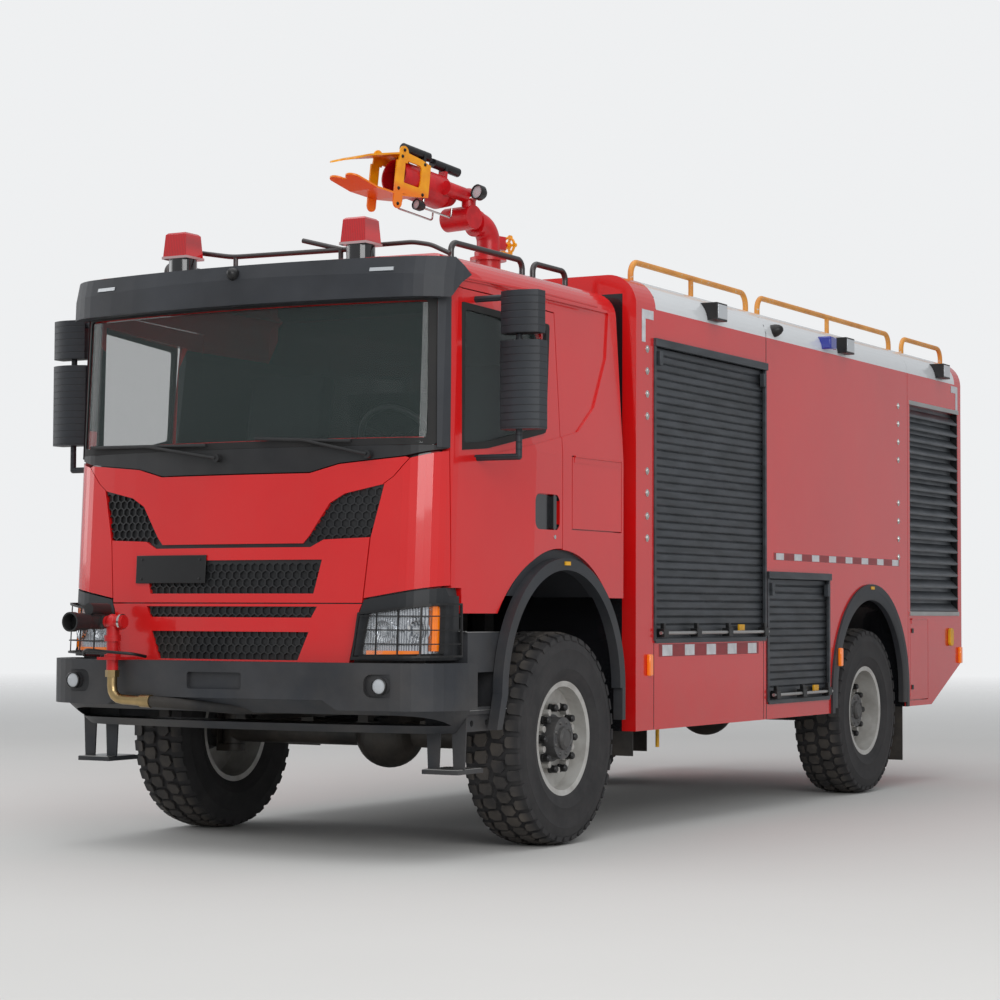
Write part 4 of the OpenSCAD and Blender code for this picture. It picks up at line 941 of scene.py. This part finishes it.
def trim_cab():
    """Gaskets, mirror glasses, locks, gutter, visor lights, the blank plate and the roof tubes."""
    pair("window_gasket", border(inset(WINDOW, -0.012), 0.034, 0.02, side, -0.026, -0.005), rubber_black,
         DOORS)
    piece("windscreen_gasket", border(inset(SCREEN, 0.001), 0.034, 0.02, front, -0.012, -0.001),
          rubber_black, "chassis")
    # Mirror glasses at the housings' rear faces
    mirror_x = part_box("mirrors_left")[1][0] - 0.111
    glasses = [block([mirror_x - w / 2, y, z], [mirror_x + w / 2, y + 0.004, z + h])
               for w, z, h, y in ((0.176, 2.62, 0.172, -0.821), (0.188, 2.15, 0.39, -0.809))]
    pair("mirror_glass", join(*glasses), bright, DOORS)
    # A lock barrel below each door's handle
    lock = turned([[0, 0], [0.011, 0], [0.011, 0.003], [0.0, 0.004]], side(-0.15, 1.615), (1, 0, 0), 16)
    pair("door_lock", lock, bright, DOORS)
    gutter = sweep(side(np.linspace(-1.0, 0.33, 30), np.linspace(2.884, 2.878, 30), 0.001),
                   rounded_outline(0.012, 0.014, 0.004))
    pair("roof_gutter", gutter, paint_red, slot="red_paint")

    # Position lights and a round pod on the sun visor, whose upper face leans back 16 degrees
    def visor(x, z, out):
        points = front(x, z, 0.08 + out)
        points[..., 1] += np.maximum(np.asarray(z) - 2.885, 0) * (math.tan(math.radians(16)) - math.tan(LEAN))
        return points

    lights = join(*[patch(x - 0.062, x + 0.062, 2.897, 2.915, visor, -0.004, 0.003) for x in (-0.85, 0.85)])
    piece("visor_lights", lights, clear_lamp, "chassis")
    piece("visor_pod", dome(visor(0.013, 2.921, -0.004), (0, -1, 0.25), 0.034, 0.05), black_coat, "chassis")
    # Blank plate with its bolts
    plate = patch(-0.599, -0.136, 1.363, 1.505, front, 0.001, 0.009)
    bolts = [dome(front(x, z, 0.009), (0, -1, 0), 0.007, 0.004, 12, 4)
             for x in (-0.56, -0.175) for z in (1.385, 1.483)]
    piece("blank_plate", join(plate, *bolts), black_coat, "chassis", bevel=0.0015)
    # Bent tubes across the cab roof's front edge, their feet, and the end on the left
    long_tube = [[-0.66, -0.9, 3.15], [-0.32, -0.9, 3.092], [0.375, -0.9, 3.084], [0.52, -0.86, 3.09]]
    short_tube = [[0.113, -0.88, 3.152], [0.375, -0.9, 3.084]]
    feet = [[[x, -0.9, z], [x, -0.9, 2.99]] for x, z in ((-0.3, 3.09), (0.36, 3.084))]
    tubes = [pipe(p, 0.013, 0.05) for p in [long_tube, short_tube] + feet]
    piece("roof_tubes", join(*tubes), steel_dark, "chassis")
    left_end = [[0.560, -0.9, 3.095], [0.794, -0.9, 3.095], [0.90, -0.9, 3.075], [1.012, -0.9, 3.022]]
    piece("roof_tube_end", pipe(left_end, 0.012), steel_dark, "chassis")


def trim_lamps():
    """Headlamp covers and insides, fog lamps, and the bright edges of the steps."""
    cover = loop(inset(LAMP_GLASS, 0.001), 0.012)
    pair("headlamp_cover", prism(cover, lambda u, v, w: front(u, v, -0.005 + w), 0.004), clear_cover)
    amber = join(patch(1.092, 1.126, 1.03, 1.252, front, -0.024, -0.008),
                 patch(0.79, 1.05, 1.008, 1.032, front, -0.024, -0.008))
    pair("headlamp_amber", amber, amber_lens)
    rim = border(inset(LAMP_GLASS, -0.002), 0.012, 0.012, front, -0.006, 0.003)
    pair("headlamp_rim", rim, black_coat)
    # Bulbs in the bowls
    bulbs = [dome(front(x, 1.13, -0.022), (0, -1, 0), 0.018, 0.016) for x in (0.872, 1.03)]
    pair("headlamp_bulbs", join(*bulbs), clear_lamp)
    fog_at = (0.933, -1.4215, 0.862)
    fog = turned([[0, -0.002], [0.036, -0.002], [0.036, 0.006], [0.024, 0.012], [0, 0.014]], fog_at,
                 (0, -1, 0), 32)
    ring = turned([[0.036, -0.004], [0.043, -0.004], [0.043, 0.008], [0.038, 0.012], [0.036, 0.008]],
                  fog_at, (0, -1, 0), 32)
    pair("fog_lamp_lens", fog, clear_lamp)
    pair("fog_lamp_ring", ring, black_coat)
    # Worn bright edges of the step treads
    edges = [block([0.975, -1.036, z], [1.188, -1.022, z + 0.004]) for z in (1.124, 0.738)]
    edges += [block([1.186, -1.03, z + 0.001], [1.192, -0.62, z + 0.004]) for z in (1.120, 0.734)]
    edges.append(block([0.975, -1.076, 0.446], [1.17, -0.84, 0.449]))
    pair("step_edges", join(*edges), aluminium)


def beside(x0, x1, y, z):
    """A box on the body's left side, from x0 to x1 off the side, over two ranges y and z."""
    return block([SIDE_X + x0, y[0], z[0]], [SIDE_X + x1, y[1], z[1]])


def about(middle_value, half):
    """A range round its middle."""
    return middle_value - half, middle_value + half


def trim_side():
    """Dome bolts, tape, white marks and seams on the body's sides."""
    dome_bolt = [[0, 0.0], [0.021, 0.0], [0.021, 0.003], [0.014, 0.004], [0.012, 0.009], [0.006, 0.0125],
                 [0, 0.013]]
    bolts = []
    for y, heights in ((0.884, (2.698, 2.574, 2.445, 2.321, 2.013, 1.890, 1.761, 1.638)),
                       (4.945, (2.682, 2.555, 2.428, 2.301, 1.998, 1.871, 1.745, 1.618))):
        for z in heights:
            bolts.append(turned(dome_bolt, flank(y, z), (1, 0, 0), 18))
    pair("side_bolts", join(*bolts), bright)

    def strips(rows, low, high, pitch):
        return join(*[patch(*row, flank, low, high, pitch) for row in rows])

    # White squares on red tape, and angle marks in the upper corners, as y from, to, z from, to
    tape = [(2.70, 4.96, 1.553, 1.598), (1.04, 2.46, 0.974, 1.044)]
    pair("red_tape", strips(tape, 0.0, 0.0008, 0.5), red_tape)
    marks = [(*about(y, 0.062), 1.555, 1.596) for y in np.linspace(2.80, 4.88, 8)]
    marks += [(*about(y, 0.066), 0.978, 1.040) for y in np.linspace(1.15, 2.36, 5)]
    marks += [(0.815, 0.965, 2.868, 2.918), (0.815, 0.862, 2.735, 2.868),
              (6.085, 6.235, 2.868, 2.918), (6.188, 6.235, 2.735, 2.868)]
    pair("white_marks", strips(marks, 0.0008, 0.0016, 0.5), white_tape)
    # Seams between the body's panels
    seams = [(2.578, 2.585, 0.57, 3.06), (0.972, 0.977, 0.57, 1.05), (2.536, 2.541, 0.57, 1.05),
             (0.994, 0.999, COVE_LOW, 3.08)]
    pair("panel_seams", strips(seams, 0.0, 0.0009, 0.05), black_coat)


def trim_shutters():
    """The shutters' heads, side tracks and foot rails with their bars, latches and tags."""
    dark, bars, latch, tags = [], [], [], []
    for y0, y1, z0, z1, stops in ((0.982, 2.561, 1.063, 2.728, (1.05, 1.50, 1.95, 2.49)),
                                  (2.603, 3.620, 0.671, 1.440, (2.68, 3.11, 3.54))):
        dark.append(beside(-0.004, 0.020, (y0 - 0.014, y1 + 0.014), (z1 - 0.004, z1 + 0.040)))
        dark += [beside(-0.01, 0.009, about(y, 0.012), (z0, z1)) for y in (y0, y1)]
        dark.append(beside(-0.02, 0.012, (y0, y1), (z0 - 0.012, z0 + 0.014)))
        dark += [beside(-0.005, 0.024, about(y, 0.02), (z1 - 0.11, z1 - 0.03))
                 for y in (y0 + 0.045, y1 - 0.045)]
        bars.append(pipe([[SIDE_X + 0.03, y, z0 + 0.045] for y in (y0 + 0.02, y1 - 0.02)], 0.010))
        for y in stops:
            latch.append(beside(-0.004, 0.045, about(y, 0.03), (z0 + 0.02, z0 + 0.07)))
            latch.append(beside(0.01, 0.035, about(y, 0.012), (z0 + 0.06, z0 + 0.10)))
        tags.append(beside(0.0, 0.013, about(0.76 * y1 + 0.24 * y0, 0.04), about(z0 + 0.068, 0.022)))
    pair("shutter_frames", join(*dark), slats, bevel=0.002)
    pair("shutter_bars", join(*bars), aluminium)
    pair("shutter_latches", join(*latch), black_coat, bevel=0.003)
    pair("yellow_tags", join(*tags), jaw_yellow, bevel=0.002)


def trim_arches():
    """Flanges of the rear arches, from the skin in over the tyres: a closed section of [radius, x]
    points carried up one leg, round a half circle and down the other leg."""
    turn = np.linspace(0, np.pi, 41)
    outward = np.stack([np.cos(turn), np.sin(turn)], 1)
    foot_z = 0.600
    centre_z = 0.685
    foot = np.array([[ARCH_Y, foot_z]])
    hub = np.repeat([[ARCH_Y, centre_z]], len(turn), 0)
    base = np.concatenate([foot, hub, foot])
    outward = np.concatenate([outward[:1], outward, outward[-1:]])
    rings = []
    for r, x in ((0.628, -0.03), (0.628, 0.006), (0.640, 0.013), (0.698, 0.013), (0.698, -0.004),
                 (0.640, -0.004), (0.636, -0.03)):
        at = base + r * outward
        rings.append(np.stack([np.full(len(at), SIDE_X + x), at[:, 0], at[:, 1]], 1))
    pair("rear_arch_flanges", capped(np.stack(rings, 1)), plastic_grey)
    pair("arch_markers", join(block([1.249, -0.105, 1.468], [1.256, -0.045, 1.488]),
                              block([1.263, 4.365, 1.385], [1.269, 4.425, 1.405])), jaw_yellow)


def trim_rear():
    """Louvre trim, side markers, the yellow box, flap locks, and the back wall's plate, tape and lenses."""
    strips = [beside(-0.058, -0.002, (y, y + 0.012), (1.237, 2.71)) for y in (5.185, 6.222)]
    pair("louvre_side_strips", join(*strips), black_coat)
    markers = [beside(out - 0.001, out + 0.022, about(y, 0.022), about(z, 0.06))
               for y, z, out in ((0.907, 0.930, 0), (3.775, 0.934, 0.014), (6.249, 0.914, 0))]
    pair("side_markers", join(*markers), amber_lens, bevel=0.006)
    # Blank plate and tape on the back wall
    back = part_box("rear_section")[1][1] - AXLE_Y
    piece("rear_plate", block([-0.26, back - 0.002, 0.83], [0.26, back + 0.005, 0.95]), white_tape,
          "chassis", bevel=0.002)
    rows = [block([1.12, back - 0.002, z], [1.17, back + 0.001, z + 0.15])
            for z in np.arange(1.42, 2.75, 0.3)]
    pair("rear_tape", join(*rows), white_tape)
    box = prism(rounded_outline(0.075, 0.13, 0.025) + np.array([6.034, 1.05]), flank, 0.022)
    pair("yellow_box", box, jaw_yellow, bevel=0.004)
    locks = [beside(0.0, 0.006, about(5.225, 0.016), about(z, 0.016)) for z in (1.10, 0.70)]
    pair("flap_locks", join(*locks), black_coat, ("left_flap", "right_flap"))
    louvre_trim = [beside(-0.002, 0.008, (5.175, 6.240), (z, z + 0.03)) for z in (2.71, 1.207)]
    pair("louvre_trim", join(*louvre_trim), aluminium, bevel=0.002)
    # Lenses of the tail lamps
    for name, z, material in (("tail_lens_low", 0.959, red_lens), ("tail_lens_mid", 1.069, amber_lens),
                              ("tail_lens_top", 1.179, red_lens)):
        pair(name, dome((1.125, 6.352, z), (0, 1, 0), 0.043, 0.012, 28, 5), material)


def trim_roof_edge():
    """Faces of the lamps in the roof edge, what sits between them, and the drains under the body."""
    faces = [block([1.309, y + 0.012, 2.958], [1.316, y + 0.138, 3.042]) for y in (1.705, 3.795, 5.745)]
    pair("work_lamp_faces", join(*faces), clear_lens, bevel=0.003)
    pair("blue_lamp", block([1.20, 3.515, 2.948], [1.312, 3.625, 3.032]), blue_lens, bevel=0.01)
    pair("roof_edge_sensor", dome(flank(2.726, 2.985, -0.01), (1, 0, 0.2), 0.042, 0.075), black_coat)
    pipes = [pipe([[1.10, y, 0.60], [1.10, y, z]], 0.011) for y, z in ((0.888, 0.44), (1.336, 0.45))]
    pair("drain_pipes", join(*pipes), jaw_yellow)


def trim_wheels():
    """Caps on the ten studs of each wheel, small bolts round its hub and a hub cap."""
    nut_cap = [[0, 0], [0.0225, 0], [0.0225, 0.012], [0.0195, 0.014], [0.0195, 0.04], [0.014, 0.047],
               [0, 0.048]]
    hub_cap = [[0, 0], [0.062, 0], [0.060, 0.012], [0.048, 0.024], [0.046, 0.020], [0.0, 0.022]]
    for axle, name, sign, hub in WHEELS:
        face = 0.040 if axle == "front" else -0.020
        axis = (sign, 0, 0)

        def spot(out, radius, a):
            return hub + np.array([sign * (face + out), radius * math.cos(a), radius * math.sin(a)])

        caps = [turned(nut_cap, spot(0.045, 0.168, a), axis, 12) for a in np.arange(10) * math.pi / 5]
        small = [dome(spot(0.10, 0.088, a), axis, 0.012, 0.009, 10, 3)
                 for a in (np.arange(8) + 0.5) * math.pi / 4]
        small.append(turned(hub_cap, spot(0.10, 0.0, 0.0), axis, 32))
        body = f"{axle}_{name}_wheel"
        piece(f"{body}_nut_caps", join(*caps), black_coat, body)
        piece(f"{body}_hub_bolts", join(*small), hub_grey, body)


def trim_monitors():
    """Lamps and rods of the roof monitor, and the pipes and guard of the bumper monitor."""
    across = np.array([math.cos(TURN), -math.sin(TURN), 0])

    def barrel(u, x, v):
        """A point ahead along the barrel, across it and above it, from its pivot."""
        return BARREL_PIVOT + FORE * u + across * x + ABOVE * v

    lamp_rings, lamp_faces = [], []
    for u, x, v, r in ((-0.02, 0.205, 0.01, 0.045), (0.36, 0.09, -0.15, 0.032)):
        spot = barrel(u, x, v)
        lamp_rings.append(turned([[0, 0], [r * 0.7, 0], [r, 0.02], [r, 0.06], [r * 0.86, 0.062],
                                  [r * 0.84, 0.05]], spot, FORE, 24))
        lamp_faces.append(turned([[0, 0.049], [r * 0.84, 0.049], [r * 0.84, 0.052], [0, 0.056]], spot, FORE,
                                 24))
    rods = [pipe([barrel(-0.02, 0.205, 0.0), barrel(0.02, 0.15, -0.02), barrel(0.06, 0.10, -0.02)], 0.009),
            pipe([barrel(0.36, 0.09, -0.12), barrel(0.36, 0.09, -0.08)], 0.008)]
    for x in (-0.075, 0.075):
        rods.append(pipe([barrel(0.10, x, -0.09), barrel(0.10, x, -0.15), barrel(0.40, x, -0.15),
                          barrel(0.40, x, -0.10)], 0.006, 0.02))
    piece("barrel_lamp_rings", join(*lamp_rings), black_coat, "roof_monitor_barrel")
    piece("barrel_lamp_faces", join(*lamp_faces), clear_lamp, "roof_monitor_barrel")
    piece("barrel_rods", join(*rods), bright, "roof_monitor_barrel")
    bolts = []
    for x, sign in ((-0.108, -1), (0.108, 1)):
        for u, v in ((0.39, 0.09), (0.39, -0.09), (0.58, 0.09), (0.59, -0.10), (0.567, 0.13), (0.586, -0.19)):
            bolts.append(dome(barrel(u, x, v), across * sign, 0.011, 0.008, 10, 3))
    piece("frame_bolts", join(*bolts), black_coat, "roof_monitor_barrel")

    # Eight bolts under the turning pipe's flange and eight on the foot's
    def bolt_circle(radius, z, way, height):
        return [dome((radius * math.cos(a), MONITOR_Y + radius * math.sin(a), z), (0, 0, way), 0.009, height,
                     6, 2) for a in np.arange(8) * math.pi / 4]

    flange_bolts = bolt_circle(0.092, 3.345, -1, 0.02) + bolt_circle(0.105, 3.128, 1, 0.012)
    piece("monitor_flange_bolts", join(*flange_bolts), bright, "chassis")
    # Feed pipe of the bumper monitor: brass bend, then a black hose under the bumper
    brass_pipe = pipe([[-0.62, -1.5, 0.925], [-0.62, -1.5, 0.775], [-0.40, -1.49, 0.765]], 0.026, 0.09)
    nut = turned([[0.026, 0], [0.036, 0], [0.036, 0.035], [0.026, 0.035]], (-0.62, -1.5, 0.885), (0, 0, 1), 6)
    collar = turned([[0.02, 0], [0.033, 0], [0.033, 0.06], [0.02, 0.06]], (-0.44, -1.492, 0.767),
                    (1, 0.05, -0.02), 20)
    piece("feed_bend", join(brass_pipe, nut, collar), brass, "chassis")
    piece("feed_hose", pipe([[-0.41, -1.49, 0.766], [-0.2, -1.47, 0.755], [0.1, -1.40, 0.735],
                             [0.35, -1.2, 0.74]], 0.028, 0.09), rubber_black, "chassis")
    guard = pipe([[-0.74, -1.46, 0.99], [-0.74, -1.59, 0.995], [-0.70, -1.62, 1.025], [-0.56, -1.62, 1.015],
                  [-0.44, -1.56, 1.005], [-0.44, -1.46, 0.99]], 0.008, 0.04)
    piece("monitor_guard", guard, black_coat, "chassis")
    ring = turned([[0.034, 0], [0.041, 0], [0.041, 0.012], [0.034, 0.012]], (-0.62 + 0.052, -1.5, 1.165),
                  (1, 0, 0), 24)
    piece("outlet_ring", ring, bright, "front_monitor_turn")


def seat_shapes():
    """Cushions of the cab seats: a crowned pad over each seat and back, thick in the middle and
    falling off to the edges as one minus the fourth power of the distance across and along."""
    u, v = np.meshgrid(np.linspace(-1, 1, 15), np.linspace(-1, 1, 15), indexing="ij")
    crown = (1 - u ** 4) * (1 - v ** 4)
    shapes = []
    for wide, long, thick in ((0.25, 0.24, 0.05), (0.24, 0.31, 0.055)):
        ridge = 0.35 + 0.65 * (0.85 + 0.15 * np.cos(u * np.pi * 2))
        top = np.stack([u * wide, v * long, crown * thick * ridge + 0.004], -1)
        shapes.append(sheet(top, np.stack([u * wide, v * long, 0 * u], -1)))
    return shapes


def trim_seats():
    """A seat pad and a leaning back pad on each of the two seats."""
    seat, back = seat_shapes()
    floor_z = 1.64
    lean = math.radians(-10)
    for name, x in (("driver", 0.6), ("passenger", -0.6)):
        low = moved(seat, (x, -0.30, floor_z + 0.38))
        points = back[0]
        # The back's pad stands on its front face, leaning with it
        up = points[:, 1] + 0.31
        out = -points[:, 2]
        turned_y = -0.060 + out * math.cos(lean) - up * math.sin(lean)
        turned_z = floor_z + 0.30 + up * math.cos(lean) + out * math.sin(lean)
        high = (np.stack([points[:, 0] + x, turned_y, turned_z], -1), back[1])
        for part, shape in (("cushion", low), ("backrest", high)):
            obj = piece(f"{name}_{part}", shape, cloth, "chassis", "seat_fabric", smooth=60)


trim_cab()
trim_lamps()
trim_side()
trim_shutters()
trim_arches()
trim_rear()
trim_roof_edge()
trim_wheels()
trim_monitors()
trim_seats()


# Camera, light and floor

def make_camera():
    """The photograph's viewpoint: place, heading, pitch and roll from the camera fit."""
    camera_at = [7.234, -11.536, 1.223]
    focal_mm = 88.74
    heading, pitch, roll = math.radians(29.139), math.radians(2.599), math.radians(0.212)
    ahead = Vector((-math.sin(heading) * math.cos(pitch), math.cos(heading) * math.cos(pitch),
                    math.sin(pitch)))
    right = Vector((math.cos(heading), math.sin(heading), 0.0))
    up = right.cross(ahead)
    right_rolled = right * math.cos(roll) + up * math.sin(roll)
    up_rolled = right_rolled.cross(ahead)
    camera = bpy.data.cameras.new("camera")
    camera.lens = focal_mm
    camera.sensor_width = 36.0
    camera.clip_end = 200.0
    obj = bpy.data.objects.new("camera", camera)
    turn = Matrix((right_rolled, up_rolled, -ahead)).transposed().to_4x4()
    obj.matrix_world = Matrix.Translation(put(camera_at).tolist()) @ turn
    bpy.context.scene.collection.objects.link(obj)
    bpy.context.scene.camera = obj


def lamp(name, place, size, power, aim=(0.0, 0.0, 1.4)):
    """A soft rectangular lamp that points at aim."""
    light = bpy.data.lights.new(name, "AREA")
    light.shape = "RECTANGLE"
    light.size, light.size_y = size
    light.energy = power
    obj = bpy.data.objects.new(name, light)
    obj.location = place
    obj.rotation_euler = (Vector(aim) - Vector(place)).to_track_quat("-Z", "Y").to_euler()
    bpy.context.scene.collection.objects.link(obj)


def make_stage():
    """Pale floor that fades out far away, plain world light and three soft lamps."""
    floor = bpy.data.meshes.new("floor")
    reach = 60.0
    floor.from_pydata([(-reach, -reach, 0), (reach, -reach, 0), (reach, reach, 0), (-reach, reach, 0)], [],
                      [(0, 1, 2, 3)])
    f = Finish("pale_floor", roughness=0.8)
    f.set("Base Color", f.mix(f.noise(0.8, 4) * 0.3, linear(214, 213, 210), linear(202, 201, 198)))
    away = (f.x * f.x + f.y * f.y).sqrt()
    f.set("Alpha", 1 - f.ramp(away, 9.0, 34.0))
    floor.materials.append(f.material)
    obj = bpy.data.objects.new("floor", floor)
    bpy.context.scene.collection.objects.link(obj)
    world = bpy.data.worlds.new("world")
    bpy.context.scene.world = world
    world.use_nodes = True
    tree = world.node_tree
    back = tree.nodes["Background"]
    back.inputs["Color"].default_value = (0.78, 0.80, 0.83, 1)
    back.inputs["Strength"].default_value = 0.62
    # The camera sees a paler backdrop than the one that lights the truck
    pale = tree.nodes.new("ShaderNodeBackground")
    pale.inputs["Color"].default_value = (0.86, 0.87, 0.88, 1)
    seen = tree.nodes.new("ShaderNodeLightPath")
    choice = tree.nodes.new("ShaderNodeMixShader")
    tree.links.new(seen.outputs["Is Camera Ray"], choice.inputs[0])
    tree.links.new(back.outputs[0], choice.inputs[1])
    tree.links.new(pale.outputs[0], choice.inputs[2])
    tree.links.new(choice.outputs[0], tree.nodes["World Output"].inputs["Surface"])
    lamp("sky", (0, -2, 11), (12, 16), 620)
    lamp("front_left", (9, -11, 6), (8, 6), 560)
    lamp("right_fill", (-11, -4, 5), (8, 6), 240)


make_camera()
make_stage()
bpy.context.scene.view_settings.view_transform = "Standard"
